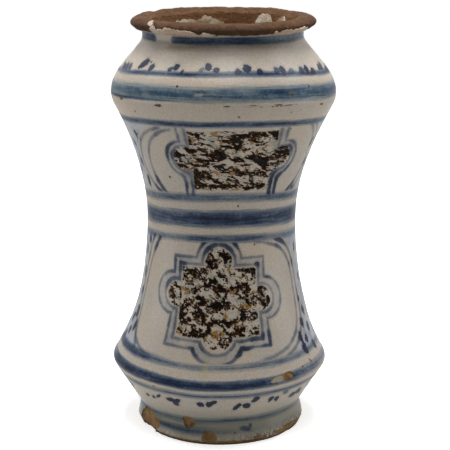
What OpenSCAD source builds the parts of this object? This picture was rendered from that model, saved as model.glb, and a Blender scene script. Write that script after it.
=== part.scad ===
// Waisted drug jar (albarello): a thrown and turned clay body under a tin glaze,
// with a worn bare lip and a chipped foot.
// Units are millimetres. +Z is up, the origin is the centre of the rest face,
// and the side that the photograph shows faces -Y.

/* [Heights] */
// Height of the whole jar
jar_h = 270; // [258:1:290]
// Height of the foot, which is also the level of the floor inside
foot_h = 14; // [12:0.5:20]
// Height of the lower edge, where the belly is widest
belly_z = 44; // [36:0.5:60]
// Height of the narrowest place of the waist
waist_z = 141.5; // [120:0.5:160]
// Drop from the top of the jar to the shoulder edge
shoulder_drop = 46; // [40:0.5:60]
// Drop from the top of the jar to the place where the shoulder leans in to the neck
collar_drop = 32.5; // [26:0.5:38]
// Height of the neck, from the shoulder's slope to the underside of the lip
neck_h = 5.6; // [4.6:0.2:12]

/* [Diameters, over the glaze] */
// Spread edge of the foot
foot_d = 111.6; // [108:0.2:120]
// Top of the foot
foot_top_d = 106.6; // [98:0.2:108]
// Belly at its lower edge, before that edge is rounded
belly_d = 144; // [130:0.5:160]
// Waist
waist_d = 97.6; // [84:0.2:120]
// Shoulder at its edge, before that edge is rounded
shoulder_d = 150.8; // [136:0.2:166]
// Place where the shoulder leans in to the neck
collar_d = 130; // [116:0.5:134]
// Neck under the lip
neck_d = 102.4; // [96:0.2:104.8]
// Lip
lip_d = 117.2; // [116:0.2:124]

/* [Edges] */
// Height of the lip's cross-section
lip_h = 10.4; // [7:0.2:12]
// Width of the lip's cross-section
lip_w = 13.2; // [11:0.2:15]
// Length of the rounding on each side of the belly's lower edge
belly_round = 3; // [1:0.5:6]
// Length of the rounding below the shoulder edge
shoulder_round = 12; // [4:0.5:20]
// Length of the hollow curve between the shoulder and the neck
neck_round = 4.5; // [2:0.5:8]
// Length of the rounding between the floor and the wall inside
heel_round = 12; // [4:0.5:20]
// Pull of the wall above the belly, from the belly's height towards the waist's
belly_pull = 38; // [20:1:60]
// Pull of the wall below the shoulder, from the waist's height towards the shoulder's
shoulder_pull = 31; // [15:1:55]
// Height of the bevel under the spread edge of the foot
foot_bevel_h = 2.4; // [1:0.2:5]
// Width of the bevel under the spread edge of the foot
foot_bevel_w = 2.2; // [1:0.2:4]

/* [Thicknesses] */
// Wall, glaze included, measured across the axis
wall = 6.5; // [5:0.25:9]
// Floor, glaze left out
floor_t = 10; // [6:0.5:12]
// Diameter of the hollow turned under the foot
recess_d = 84; // [60:1:94]
// Glaze on the outside
glaze_t = 0.6; // [0.4:0.1:1.2]
// Glaze on the inside
lining_t = 0.5; // [0.4:0.1:1]

/* [Wear] */
// Height of the bare band of the foot, above its bevel
bare_foot_h = 0.6; // [0.4:0.2:3]
// Height of the bare band between the glaze and the underside of the lip
bare_neck_h = 1.2; // [0.6:0.2:3]
// Radius of the scoop that the large chip takes out of the foot
big_chip_r = 14; // [8:0.5:18]
// Depth of that scoop
big_chip_depth = 3; // [1:0.5:5]
// Thickness of the glaze flakes left on the lip
flake_t = 0.7; // [0.4:0.1:1.2]

/* [Hidden] */

$fn = 96;

// Straight steps that make up each curved stretch of the outline.
EDGE_STEPS = 6;
WALL_STEPS = 14;
SHOULDER_STEPS = 8;
NECK_STEPS = 4;
LIP_STEPS = 24;
FLAKE_STEPS = 6;

CLAY = "#8a6244";
TIN_WHITE = "#d8d4c8";
LINING_WHITE = "#cfc8b8";
FLAKE_CREAM = "#e2d8c6";

// Directions round the jar are in degrees from the front, positive to the viewer's right.
FRONT = -90;

shoulder_z = jar_h - shoulder_drop;
collar_z = jar_h - collar_drop;
lip_bottom_z = jar_h - lip_h;
neck_z = lip_bottom_z - neck_h;
lip_mid_z = jar_h - lip_h / 2;
lip_mid_r = (lip_d - lip_w) / 2;
recess_h = foot_h - floor_t;

// Corners of the outline, as [radius, height] over the glaze.
foot_edge = [foot_d / 2, foot_bevel_h];
foot_top = [foot_top_d / 2, foot_h];
belly = [belly_d / 2, belly_z];
belly_bend = [waist_d / 2, belly_z + belly_pull];
waist = [waist_d / 2, waist_z];
shoulder_bend = [waist_d / 2, waist_z + shoulder_pull];
shoulder = [shoulder_d / 2, shoulder_z];
collar = [collar_d / 2, collar_z];
neck = [neck_d / 2, neck_z];

// Places where the roundings of the two edges begin and end.
belly_low = along(belly, foot_top, belly_round);
belly_high = along(belly, belly_bend, belly_round);
shoulder_low = along(shoulder, shoulder_bend, shoulder_round);
neck_low = along(neck, collar, neck_round);
neck_high = [neck[0], neck_z + neck_round / 2];
neck_top = [neck[0], lip_bottom_z];

// The wall from the top of the foot to the foot of the neck: every layer of the jar follows it.
wall_line = concat(
    [foot_top],
    curve(belly_low, belly, belly_high, EDGE_STEPS),
    after_first(curve(belly_high, belly_bend, waist, WALL_STEPS)),
    after_first(curve(waist, shoulder_bend, shoulder_low, WALL_STEPS)),
    after_first(curve(shoulder_low, shoulder, collar, SHOULDER_STEPS)),
    curve(neck_low, neck, neck_high, NECK_STEPS)
);

// The inside face of the clay: the heel rounds the floor into the wall.
heel = [foot_top[0] - wall, foot_h];
heel_in = [heel[0] - heel_round, foot_h];
heel_up = along(heel, [belly[0] - wall, belly_z], heel_round);
heel_line = curve(heel_in, heel, heel_up, EDGE_STEPS);
inside_wall = shifted(concat(after_first(wall_line), [neck_top]), -wall);

// Chips that show bare clay: [direction, height, radius of the patch].
GLAZE_CHIPS = [
    [-22, 12, 4.5],
    [-9, 5, 4.8],
    [42, belly_z, 4.6],
    [56, 5, 6]
];

// The large chip at the left of the foot: its direction and its height.
BIG_CHIP = [-68, 6];

// Glaze flakes on the lip: [direction, sweep, lower and upper angle on the lip's section].
LIP_FLAKES = [
    [-49, 5, -30, 55],
    [-40, 22, -35, 5]
];

function along(from, to, distance) = from + (to - from) / norm(to - from) * distance;

function after_first(points) = [for (i = [1 : len(points) - 1]) points[i]];

function reversed(points) = [for (i = [len(points) - 1 : -1 : 0]) points[i]];

function shifted(points, dr) = [for (p = points) [p[0] + dr, p[1]]];

// Curve from one point to another that leaves and arrives along the lines to a bend point.
function curve(from, bend, to, steps) = [
    for (i = [0 : steps])
        let (t = i / steps)
        (1 - t) * (1 - t) * from + 2 * t * (1 - t) * bend + t * t * to
];

// Part of the lip's round section, between two angles, grown outwards.
function lip_arc(grow, low, high, steps) = [
    for (i = [0 : steps])
        let (a = low + (high - low) * i / steps)
        [lip_mid_r + (lip_w / 2 + grow) * cos(a), lip_mid_z + (lip_h / 2 + grow) * sin(a)]
];

// Radius over the glaze on the straight slopes below the belly, at a height.
function low_radius(z) =
    z < foot_h
        ? lookup(z, [[foot_bevel_h, foot_edge[0]], [foot_h, foot_top[0]]])
        : lookup(z, [[foot_h, foot_top[0]], [belly_z, belly[0]]]);

module place_round(direction, radius, z) {
    rotate([0, 0, FRONT + direction])
        translate([radius, 0, z])
            children();
}

// Ball that scoops the large chip out of the foot.
module big_chip(grow) {
    reach = low_radius(BIG_CHIP[1]) - big_chip_depth + big_chip_r;
    place_round(BIG_CHIP[0], reach, BIG_CHIP[1])
        sphere(r = big_chip_r + grow);
}

// Thrown and turned clay: floor, hollowed foot, wall and the bare rounded lip.
module clay_body() {
    outline = concat(
        [[0, recess_h], [recess_d / 2, recess_h], [recess_d / 2 + recess_h, 0]],
        [[foot_edge[0] - glaze_t - foot_bevel_w, 0]],
        shifted(concat([foot_edge], wall_line, [neck_top]), -glaze_t),
        lip_arc(0, -90, 180, LIP_STEPS),
        reversed(concat(heel_line, inside_wall)),
        [[0, foot_h]]
    );
    color(CLAY)
        difference() {
            rotate_extrude()
                polygon(outline);
            big_chip(0);
        }
}

// Glaze on the outside, from the bare edge of the foot to just under the lip, with its losses.
module outer_glaze() {
    bottom_z = foot_bevel_h + bare_foot_h;
    bottom = [low_radius(bottom_z), bottom_z];
    top = [neck[0], lip_bottom_z - bare_neck_h];
    face = concat([bottom], wall_line, [top]);
    color(TIN_WHITE)
        difference() {
            rotate_extrude()
                polygon(concat(face, reversed(shifted(face, -glaze_t))));
            big_chip(glaze_t);
            for (chip = GLAZE_CHIPS)
                place_round(chip[0], low_radius(chip[1]), chip[1])
                    sphere(r = chip[2]);
        }
}

// Glaze on the inside, over the floor and up the wall to the lip.
module inner_glaze() {
    lining_heel = curve(
        heel_in + [0, lining_t],
        heel + [-lining_t, lining_t],
        heel_up + [-lining_t, 0],
        EDGE_STEPS
    );
    color(LINING_WHITE)
        rotate_extrude()
            polygon(concat(
                [[0, foot_h]],
                concat(heel_line, inside_wall),
                reversed(concat(lining_heel, shifted(inside_wall, -lining_t))),
                [[0, foot_h + lining_t]]
            ));
}

// Flakes of glaze that still hold on the worn lip.
module lip_flakes() {
    color(FLAKE_CREAM)
        for (flake = LIP_FLAKES)
            rotate([0, 0, FRONT + flake[0]])
                rotate_extrude(angle = flake[1])
                    polygon(concat(
                        lip_arc(flake_t, flake[2], flake[3], FLAKE_STEPS),
                        reversed(lip_arc(0, flake[2], flake[3], FLAKE_STEPS))
                    ));
}

clay_body();
outer_glaze();
inner_glaze();
lip_flakes();
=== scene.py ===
# %% [markdown]
# # A waisted drug jar, glazed and painted
#
# The object is an albarello: a tall jar of fired clay, thrown on a wheel, dipped in white tin glaze and painted with
# cobalt blue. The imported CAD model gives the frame, so every piece below is made in metres, standing on the origin,
# with its front towards -Y. The outline is written in millimetres, which is how a potter would note it down, and is
# scaled once, by MM.

import math

import bmesh
import bpy
import numpy as np
from mathutils import Matrix, Vector, noise


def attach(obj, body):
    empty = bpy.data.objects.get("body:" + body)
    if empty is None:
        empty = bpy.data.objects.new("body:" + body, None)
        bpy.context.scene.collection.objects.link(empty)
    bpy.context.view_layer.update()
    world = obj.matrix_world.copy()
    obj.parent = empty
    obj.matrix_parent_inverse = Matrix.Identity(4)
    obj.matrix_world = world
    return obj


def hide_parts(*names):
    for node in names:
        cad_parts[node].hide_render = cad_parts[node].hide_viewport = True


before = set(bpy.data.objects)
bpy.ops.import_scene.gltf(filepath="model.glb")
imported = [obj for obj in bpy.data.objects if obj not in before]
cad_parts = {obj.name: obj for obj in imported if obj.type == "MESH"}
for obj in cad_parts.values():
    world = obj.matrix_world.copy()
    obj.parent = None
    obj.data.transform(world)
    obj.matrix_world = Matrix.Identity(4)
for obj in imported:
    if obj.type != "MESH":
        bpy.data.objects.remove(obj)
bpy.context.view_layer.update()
MM = 0.001

# %% [markdown]
# ## The camera
#
# The rings painted round the jar show as ellipses, and how round each one looks tells where the eye is: about three
# quarters of a metre away and a little above the lip. A long lens keeps the jar's sides nearly parallel. The picture
# is turned by a third of a degree, as a camera on a hand-set tripod often is.

# %% Set up the camera
CAMERA_PLACE = (2.3 * MM, -753.8 * MM, 307.4 * MM)
CAMERA_DOWN = 13.106
CAMERA_ROLL = 0.36
LENS = 93.87

scene = bpy.context.scene
camera = bpy.data.objects.new("camera", bpy.data.cameras.new("camera"))
camera.data.lens = LENS
camera.data.sensor_width = 36.0
camera.data.clip_start = 0.05
scene.collection.objects.link(camera)
aim = Matrix.Rotation(math.radians(90 - CAMERA_DOWN), 4, "X") @ Matrix.Rotation(math.radians(CAMERA_ROLL), 4, "Z")
camera.matrix_world = Matrix.Translation(CAMERA_PLACE) @ aim
scene.camera = camera
scene.view_settings.view_transform = "Standard"
print("camera lens", LENS, "mm, looking down", CAMERA_DOWN, "degrees")

# %% [markdown]
# ## Light
#
# The edge of the shoulder is the brightest white on the jar, the slope just under the lip is the darkest, and the sides
# are brighter than the middle. That is light from straight above: the lip shades the slope, and the white floor throws
# light back up at the wall. So two soft boxes hang overhead, weaker ones stand high at the sides and behind, and a low
# strip on each side picks out the edges. Area lights are the plain way to make soft boxes.

# %% Place the soft boxes
def soft_box(name, place, target, width, height, watts):
    lamp = bpy.data.lights.new(name, "AREA")
    lamp.shape = "RECTANGLE"
    lamp.size = width
    lamp.size_y = height
    lamp.energy = watts
    box = bpy.data.objects.new(name, lamp)
    box.location = place
    box.rotation_euler = (Vector(target) - Vector(place)).to_track_quat("-Z", "Y").to_euler()
    scene.collection.objects.link(box)


JAR_MIDDLE = (0, 0, 0.13)
SOFT_BOXES = (
    # name, place, width, height, watts
    ("overhead", (0, 0.1, 1.1), 0.5, 0.5, 12.5),
    ("overhead_front", (0, -0.5, 1.2), 0.5, 0.5, 6.5),
    ("high_left", (-0.8, 0.1, 1.0), 0.4, 0.4, 3.3),
    ("high_right", (0.8, 0.1, 1.0), 0.4, 0.4, 3.6),
    ("behind_left", (-0.6, 0.7, 0.8), 0.5, 0.5, 1.2),
    ("behind_right", (0.6, 0.7, 0.8), 0.5, 0.5, 0.9),
    ("strip_left", (-1.0, -0.1, 0.1), 0.6, 0.2, 2.1),
    ("strip_right", (1.0, -0.1, 0.1), 0.6, 0.2, 1.9),
)
for name, place, width, height, watts in SOFT_BOXES:
    soft_box(name, place, JAR_MIDDLE, width, height, watts)
print("soft boxes:", len(SOFT_BOXES))

# %% [markdown]
# ## Writing nodes as sums
#
# The floor, the potter's wheel and the paint are all made of nodes, and many of those nodes are plain sums. A small
# class lets the script write them as sums: adding two values makes an Add node. Any other node is made in one call,
# with its settings and with what goes into it.

# %% Helpers for nodes
def plug(tree, value, socket):
    """Links a value to a socket, or sets the socket to a plain number, colour or name."""
    if isinstance(value, Value):
        value = value.socket
    if isinstance(value, bpy.types.NodeSocket):
        tree.links.new(value, socket)
    else:
        socket.default_value = value


def add_node(tree, kind, inputs=None, **settings):
    """A new node with its settings, and with its inputs by name or by number."""
    node = tree.nodes.new(kind)
    for name, value in settings.items():
        setattr(node, name, value)
    for key, value in (inputs or {}).items():
        plug(tree, value, node.inputs[key])
    return node


def maths(tree, operation, *values):
    return Value(tree, add_node(tree, "ShaderNodeMath", dict(enumerate(values)), operation=operation).outputs[0])


def vector_of(tree, x, y, z):
    return add_node(tree, "ShaderNodeCombineXYZ", {0: x, 1: y, 2: z}).outputs[0]


def parts_of(tree, vector):
    return [Value(tree, socket) for socket in add_node(tree, "ShaderNodeSeparateXYZ", {0: vector}).outputs]


# %% Values that can be added up
class Value:
    """A number that a node puts out."""

    def __init__(self, tree, socket):
        self.tree, self.socket = tree, socket

    def do(self, operation, *others):
        return maths(self.tree, operation, self, *others)

    def __add__(self, other):
        return self.do("ADD", other)

    def __sub__(self, other):
        return self.do("SUBTRACT", other)

    def __mul__(self, other):
        return self.do("MULTIPLY", other)

    def __truediv__(self, other):
        return self.do("DIVIDE", other)

    def __abs__(self):
        return self.do("ABSOLUTE")

    def least(self, other):
        return self.do("MINIMUM", other)

    def most(self, other):
        return self.do("MAXIMUM", other)

    def reach(self, other):
        """Length of the vector from this and another value."""
        return (self * self + other * other).do("SQRT")

    def rise(self, low, high, bottom=0.0, top=1.0):
        """A soft step from bottom to top between two levels."""
        inputs = {"Value": self, "From Min": low, "From Max": high, "To Min": bottom, "To Max": top}
        node = add_node(self.tree, "ShaderNodeMapRange", inputs, interpolation_type="SMOOTHSTEP")
        return Value(self.tree, node.outputs[0])

    def near(self, middle, half, soft):
        """1 within half of middle, with soft sides."""
        return abs(self - middle).rise(half, half + soft, 1.0, 0.0)

    def clip(self):
        return self.least(1.0).most(0.0)


# %% [markdown]
# ## Floor and surround
#
# The jar stands on a white floor in a white tent. A Light Path node tells three kinds of rays apart: the camera sees
# both as plain white, reflections see them a little darker, and to all other rays the tent is nearly black, so that
# only the soft boxes light the jar. The floor keeps a faint shadow, because its glow falls off towards the jar.

# %% Make the floor and the white surround
MIRRORED_WHITE = 0.9
FLOOR_REACH = 14.0
FLOOR_WHITE = (0.80, 0.80, 0.79, 1)
GLOW_BY_DISTANCE = {"From Min": 0.08, "From Max": 0.3, "To Min": 0.62, "To Max": 1.0}
PURE_WHITE = (1, 1, 1, 1)
TENT_TONES = (
    # strength and colour for the light on the jar, for the camera and for reflections
    (0.02, (1.0, 0.985, 0.96, 1)), (1.0, PURE_WHITE), (MIRRORED_WHITE, PURE_WHITE)
)


def new_material(name):
    material = bpy.data.materials.new(name)
    material.use_nodes = True
    material.node_tree.nodes.clear()
    return material


def object_place(tree):
    return add_node(tree, "ShaderNodeTexCoord").outputs["Object"]


def by_ray(tree, lit, seen, mirrored):
    """One shader for the camera, one for reflections and clear pieces, and one for all other light."""
    path = add_node(tree, "ShaderNodeLightPath").outputs
    either = maths(tree, "MAXIMUM", path["Is Glossy Ray"], path["Is Transmission Ray"])
    shader = lit
    for share, other in ((either, mirrored), (path["Is Camera Ray"], seen)):
        shader = add_node(tree, "ShaderNodeMixShader", {0: share, 1: shader, 2: other}).outputs[0]
    return shader


floor_mesh = bpy.data.meshes.new("floor")
floor_mesh.from_pydata(
    [(x * FLOOR_REACH, y * FLOOR_REACH, 0) for x, y in ((-1, -1), (1, -1), (1, 1), (-1, 1))], [], [(0, 1, 2, 3)]
)
floor = bpy.data.objects.new("floor", floor_mesh)
scene.collection.objects.link(floor)

floor_white = new_material("floor_white")
tree = floor_white.node_tree
matt = add_node(tree, "ShaderNodeBsdfDiffuse", {"Color": FLOOR_WHITE}).outputs[0]
from_jar = add_node(tree, "ShaderNodeVectorMath", {0: object_place(tree)}, operation="LENGTH").outputs["Value"]
far = add_node(tree, "ShaderNodeMapRange", {"Value": from_jar, **GLOW_BY_DISTANCE}).outputs[0]
glow = add_node(tree, "ShaderNodeEmission", {"Strength": far}).outputs[0]
both = add_node(tree, "ShaderNodeAddShader", {0: matt, 1: glow}).outputs[0]
pale = add_node(tree, "ShaderNodeEmission", {"Strength": MIRRORED_WHITE}).outputs[0]
add_node(tree, "ShaderNodeOutputMaterial", {"Surface": by_ray(tree, matt, both, pale)})
floor_mesh.materials.append(floor_white)

world = bpy.data.worlds.new("white_tent")
scene.world = world
world.use_nodes = True
tree = world.node_tree
tree.nodes.clear()
tones = [
    add_node(tree, "ShaderNodeBackground", {"Color": colour, "Strength": strength}).outputs[0]
    for strength, colour in TENT_TONES
]
add_node(tree, "ShaderNodeOutputWorld", {"Surface": by_ray(tree, *tones)})
print("stage:", floor.name, "reaching", FLOOR_REACH, "m")

# %% [markdown]
# ## The outline
#
# A potter's rib gives a jar its outline. Here the outline is a list of [radius, height] points over the glaze: short
# curves that leave and arrive along straight lines, so that the belly stays sharp, the waist long and the shoulder
# round. Every layer of the jar follows this one outline, moved in by its own depth.

# %% Draw the outline over the glaze
FOOT_EDGE = (55.8, 2.4)
FOOT_TOP = (53.3, 14.0)
BELLY = (72.0, 44.0)
BELLY_BEND = (48.8, 82.0)
WAIST = (48.8, 141.5)
SHOULDER_BEND = (48.8, 172.5)
SHOULDER = (75.4, 224.0)
COLLAR = (65.0, 237.5)
NECK = (51.2, 254.0)
NECK_TOP = (51.2, 260.6)
LIP_MIDDLE = (52.0, 264.8)
LIP_HALF = (6.6, 3.9, 4.0)  # outwards, down, up
LIP_POINTED = 1.14
BELLY_ROUND, SHOULDER_ROUND, NECK_ROUND = 3.0, 12.0, 4.5
SAME_PLACE = 0.02
LONG_STEP = 1.2


def along(start, end, distance):
    start, end = np.array(start), np.array(end)
    return start + (end - start) / np.linalg.norm(end - start) * distance


def bent(start, bend, end, steps):
    """Points of a curve that leaves start and reaches end along the lines to bend."""
    t = np.linspace(0, 1, steps + 1)[:, None]
    return (1 - t) ** 2 * np.array(start) + 2 * t * (1 - t) * np.array(bend) + t * t * np.array(end)


def straight(start, end, steps):
    t = np.linspace(0, 1, steps + 1)[:, None]
    return np.array(start) + t * (np.array(end) - np.array(start))


def joined(*stretches):
    """One run of points from several stretches, without the doubled ones where they meet."""
    points = np.concatenate(stretches)
    keep = np.ones(len(points), bool)
    keep[1:] = np.linalg.norm(np.diff(points, axis=0), axis=1) > SAME_PLACE
    return points[keep]


def lip_arc(low, high, steps, grow=0.0):
    """Part of the lip's worn oval section, between two angles, grown outwards."""
    angle = np.radians(np.linspace(low, high, steps + 1))
    out, up = np.cos(angle), np.sin(angle)
    out, up = np.sign(out) * np.abs(out) ** LIP_POINTED, np.sign(up) * np.abs(up) ** LIP_POINTED
    half_h = np.where(up > 0, LIP_HALF[2], LIP_HALF[1])
    return np.stack([LIP_MIDDLE[0] + (LIP_HALF[0] + grow) * out, LIP_MIDDLE[1] + (half_h + grow) * up], axis=1)


def with_midpoints(points, low, high):
    """The same run with a point added in the middle of each long step between two heights."""
    close = []
    for a, b in zip(points[:-1], points[1:]):
        close.append(a)
        if low < a[1] < high and np.linalg.norm(b - a) > LONG_STEP:
            close.append((a + b) / 2)
    return np.array(close + [points[-1]])


BELLY_LOW = along(BELLY, FOOT_TOP, BELLY_ROUND)
BELLY_HIGH = along(BELLY, BELLY_BEND, BELLY_ROUND)
SHOULDER_LOW = along(SHOULDER, SHOULDER_BEND, SHOULDER_ROUND)
NECK_LOW = along(NECK, COLLAR, NECK_ROUND)
NECK_HIGH = (NECK[0], NECK[1] + NECK_ROUND / 2)

wall_line = joined(
    straight(FOOT_EDGE, FOOT_TOP, 11),
    straight(FOOT_TOP, BELLY_LOW, 10),
    bent(BELLY_LOW, BELLY, BELLY_HIGH, 7),
    bent(BELLY_HIGH, BELLY_BEND, WAIST, 24),
    bent(WAIST, SHOULDER_BEND, SHOULDER_LOW, 20),
    bent(SHOULDER_LOW, SHOULDER, COLLAR, 14),
    straight(COLLAR, NECK_LOW, 7),
    bent(NECK_LOW, NECK, NECK_HIGH, 6),
    straight(NECK_HIGH, NECK_TOP, 5),
)
# Closer points at the belly's edge, where a chip is cut.
wall_line = with_midpoints(with_midpoints(wall_line, 40.0, 53.0), 44.0, 51.0)
print("outline:", len(wall_line), "points, widest radius", round(wall_line[:, 0].max(), 2), "mm")

# %% [markdown]
# ## The wheel
#
# Everything on this jar is turned, so one Geometry Nodes tree plays the potter's wheel. It takes an outline as a line
# of points, lays a flat grid beside it, and gives each row of the grid the radius and height of its point and each
# column its turn round the axis. Noise makes the wall slightly uneven, and a slow spiral leaves throwing rings. The lip
# leans a little, and the shoulder and belly sit a hair off centre, as they do when the jar is lifted off. The tree also
# stores a map called wrap, in which the paint is drawn later: across it runs the turn, with the front in the middle,
# and up it runs the height.

# %% Build the wheel
MAP_H = 0.3
# Heights in metres between which the lip begins to lean, and the shoulder and belly begin and cease to be off centre.
LIP_LEANS = (0.246, 0.264)
SHOULDER_BEGINS, SHOULDER_ENDS = (0.165, 0.215), (0.246, 0.262)
BELLY_BEGINS, BELLY_ENDS = (0.006, 0.022), (0.058, 0.085)
STEADY_WITHIN = 0.03
WHEEL_INPUTS = (
    ("Columns", "NodeSocketInt", 400),
    ("Rows", "NodeSocketInt", 100),
    ("Unevenness", "NodeSocketFloat", 0.00035),
    ("Patch size", "NodeSocketFloat", 0.05),
    ("Ring depth", "NodeSocketFloat", 0.00006),
    ("Ring pitch", "NodeSocketFloat", 0.007),
    ("Lip lean", "NodeSocketFloat", 0.048),
    ("Lip tilt", "NodeSocketFloat", 0.008),
    ("Off centre", "NodeSocketFloat", 0.0009),
    ("Seed", "NodeSocketFloat", 3.0),
    ("Merge within", "NodeSocketFloat", 0.0),
    ("Finish", "NodeSocketMaterial", None),
)


def build_wheel():
    tree = bpy.data.node_groups.new("wheel", "GeometryNodeTree")
    face = tree.interface
    face.new_socket("Outline", in_out="INPUT", socket_type="NodeSocketGeometry")
    for name, kind, value in WHEEL_INPUTS:
        socket = face.new_socket(name, in_out="INPUT", socket_type=kind)
        if value is not None:
            socket.default_value = value
    face.new_socket("Turned piece", in_out="OUTPUT", socket_type="NodeSocketGeometry")

    given = {socket.name: Value(tree, socket) for socket in add_node(tree, "NodeGroupInput").outputs}
    grid = add_node(tree, "GeometryNodeMeshGrid", {
        "Size X": 1.0, "Size Y": 1.0, "Vertices X": given["Columns"] + 1, "Vertices Y": given["Rows"]
    })
    place = add_node(tree, "GeometryNodeInputPosition").outputs[0]
    grid_x, grid_y, _ = parts_of(tree, place)
    turn_share, row_share = grid_x + 0.5, grid_y + 0.5
    row = (row_share * (given["Rows"] - 1)).do("ROUND")
    turn = (turn_share - 0.5) * (2 * math.pi)

    point = add_node(
        tree, "GeometryNodeSampleIndex", {"Geometry": given["Outline"], "Value": place, "Index": row},
        data_type="FLOAT_VECTOR", domain="POINT"
    )
    radius, _, height = parts_of(tree, point.outputs[0])

    sine, cosine = turn.do("SINE"), turn.do("COSINE")
    patches = add_node(tree, "ShaderNodeTexNoise", {
        "Vector": vector_of(tree, radius * sine, radius * cosine * -1, height), "W": given["Seed"],
        "Scale": maths(tree, "DIVIDE", 1.0, given["Patch size"]), "Detail": 1.5
    }, noise_dimensions="4D")
    swell = (Value(tree, patches.outputs[0]) - 0.5) * (given["Unevenness"] * 4)
    spiral = height / given["Ring pitch"] * (2 * math.pi) + turn
    rings = spiral.do("SINE") * given["Ring depth"]
    off_axis = (radius / STEADY_WITHIN).least(1.0)
    moved = radius + (swell + rings) * off_axis

    at_shoulder = height.rise(*SHOULDER_BEGINS) - height.rise(*SHOULDER_ENDS)
    at_belly = height.rise(*BELLY_BEGINS) - height.rise(*BELLY_ENDS)
    x = moved * sine + (at_shoulder - at_belly) * given["Off centre"]
    y = moved * cosine * -1
    slant = y * given["Lip lean"] + x * given["Lip tilt"]
    lean = slant * height.rise(*LIP_LEANS)

    shape = add_node(tree, "GeometryNodeSetPosition", {
        "Geometry": grid.outputs["Mesh"], "Position": vector_of(tree, x, y, height + lean)
    })
    wrap = add_node(tree, "GeometryNodeStoreNamedAttribute", {
        "Geometry": shape.outputs[0], "Name": "wrap", "Value": vector_of(tree, turn_share, height / MAP_H, 0.0)
    }, data_type="FLOAT2", domain="CORNER")
    piece = wrap.outputs[0]
    for kind, inputs in (
        ("GeometryNodeMergeByDistance", {"Distance": given["Merge within"]}),
        ("GeometryNodeSetShadeSmooth", {}),
        ("GeometryNodeRealizeInstances", {}),
        ("GeometryNodeSetMaterial", {"Material": given["Finish"]}),
    ):
        piece = add_node(tree, kind, {"Geometry": piece, **inputs}).outputs[0]
    add_node(tree, "NodeGroupOutput", {0: piece})
    return tree


wheel = build_wheel()
print("wheel tree:", len(wheel.nodes), "nodes")

# %% Turn an outline on the wheel
def turn_outline(name, outline, columns, finish, merge_within=0.0):
    """The plain mesh that the wheel makes of an outline in millimetres."""
    line = bpy.data.meshes.new(name + "_outline")
    points = [(r * MM, 0.0, z * MM) for r, z in outline]
    line.from_pydata(points, [(i, i + 1) for i in range(len(points) - 1)], [])
    maker = bpy.data.objects.new(name + "_maker", line)
    scene.collection.objects.link(maker)
    modifier = maker.modifiers.new("wheel", "NODES")
    modifier.node_group = wheel
    values = {"Columns": columns, "Rows": len(points), "Merge within": merge_within, "Finish": finish}
    for item in wheel.interface.items_tree:
        if item.in_out == "INPUT" and item.name in values:
            modifier[item.identifier] = values[item.name]
    maker.update_tag()
    bpy.context.view_layer.update()
    made = maker.evaluated_get(bpy.context.evaluated_depsgraph_get())
    mesh = bpy.data.meshes.new_from_object(made)
    mesh.name = name
    maker.modifiers.remove(modifier)
    bpy.data.objects.remove(maker)
    bpy.data.meshes.remove(line)
    return mesh


def add_piece(name, mesh):
    piece = bpy.data.objects.new(name, mesh)
    scene.collection.objects.link(piece)
    return piece


# %% [markdown]
# ## The clay
#
# Under its glaze the jar is one body of brown fired clay: floor, hollowed foot, wall, neck and a thick rounded lip. The
# glaze has worn off the lip and off the edge of the foot, so there the clay shows, rubbed and pitted. The wheel turns
# the whole closed outline, from the middle of the hollow foot round the lip to the middle of the floor inside. Then the
# wear is pressed into the points of the mesh: a loop over points is the simplest way to dent a shape in one place.

# %% Turn the clay
GLAZE_T = 0.6
LINING_T = 0.5
WALL = 6.5
FLOOR_Z = 14.0
RECESS_R = 42.0
RECESS_Z = 4.0
HEEL = 12.0
FOOT_BEVEL_W = 1.1

inside_r = FOOT_TOP[0] - WALL
heel_end = along((inside_r, FLOOR_Z), (BELLY[0] - WALL, BELLY[1]), HEEL)
above_heel = wall_line[wall_line[:, 1] > heel_end[1] + 1.0]
inside_wall = joined(
    straight((0.0, FLOOR_Z), (inside_r - HEEL, FLOOR_Z), 6),
    bent((inside_r - HEEL, FLOOR_Z), (inside_r, FLOOR_Z), heel_end, 7),
    above_heel - np.array([WALL, 0.0]),
)
clay_outline = joined(
    straight((0.0, RECESS_Z), (RECESS_R, RECESS_Z), 5),
    straight((RECESS_R, RECESS_Z), (RECESS_R + RECESS_Z, 0.0), 3),
    straight((RECESS_R + RECESS_Z, 0.0), (FOOT_EDGE[0] - GLAZE_T - FOOT_BEVEL_W, 0.0), 4),
    straight((FOOT_EDGE[0] - GLAZE_T - FOOT_BEVEL_W, 0.0), (FOOT_EDGE[0] - GLAZE_T, FOOT_EDGE[1]), 3),
    wall_line - np.array([GLAZE_T, 0.0]),
    lip_arc(-86, 180, 40),
    inside_wall[::-1],
)
CLAY_COLUMNS = 330
bare_clay = new_material("worn_brown_clay")
clay_mesh = turn_outline("clay_jar", clay_outline, CLAY_COLUMNS, bare_clay, merge_within=1e-6)
print("clay:", len(clay_mesh.vertices), "points from", len(clay_outline), "rows")

# %% Rub the lip and chip the foot
FOOT_CHIPS = (
    # turn, height, half width, half height, depth
    (-60.0, 5.0, 14.0, 8.4, 2.2),
    (-21.0, 14.0, 4.4, 4.4, 0.5),
    (-7.2, 5.2, 5.8, 4.0, 0.8),
    (55.0, 2.4, 14.0, 3.4, 0.6),
    (38.6, 47.2, 4.4, 2.6, 0.8),
)
LIP_WORN_FROM, LIP_WORN_WITHIN = 257.0, 6.0
CHIPPED_BELOW, CHIPPED_OUTSIDE = 52, 40
RIM_RUBBED_BELOW = 4


def rough(place, size, seed):
    """Smooth noise about nought, its patches about size millimetres across."""
    return noise.noise(Vector(place) / (size * MM) + Vector((seed, -seed, 2 * seed)))


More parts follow.
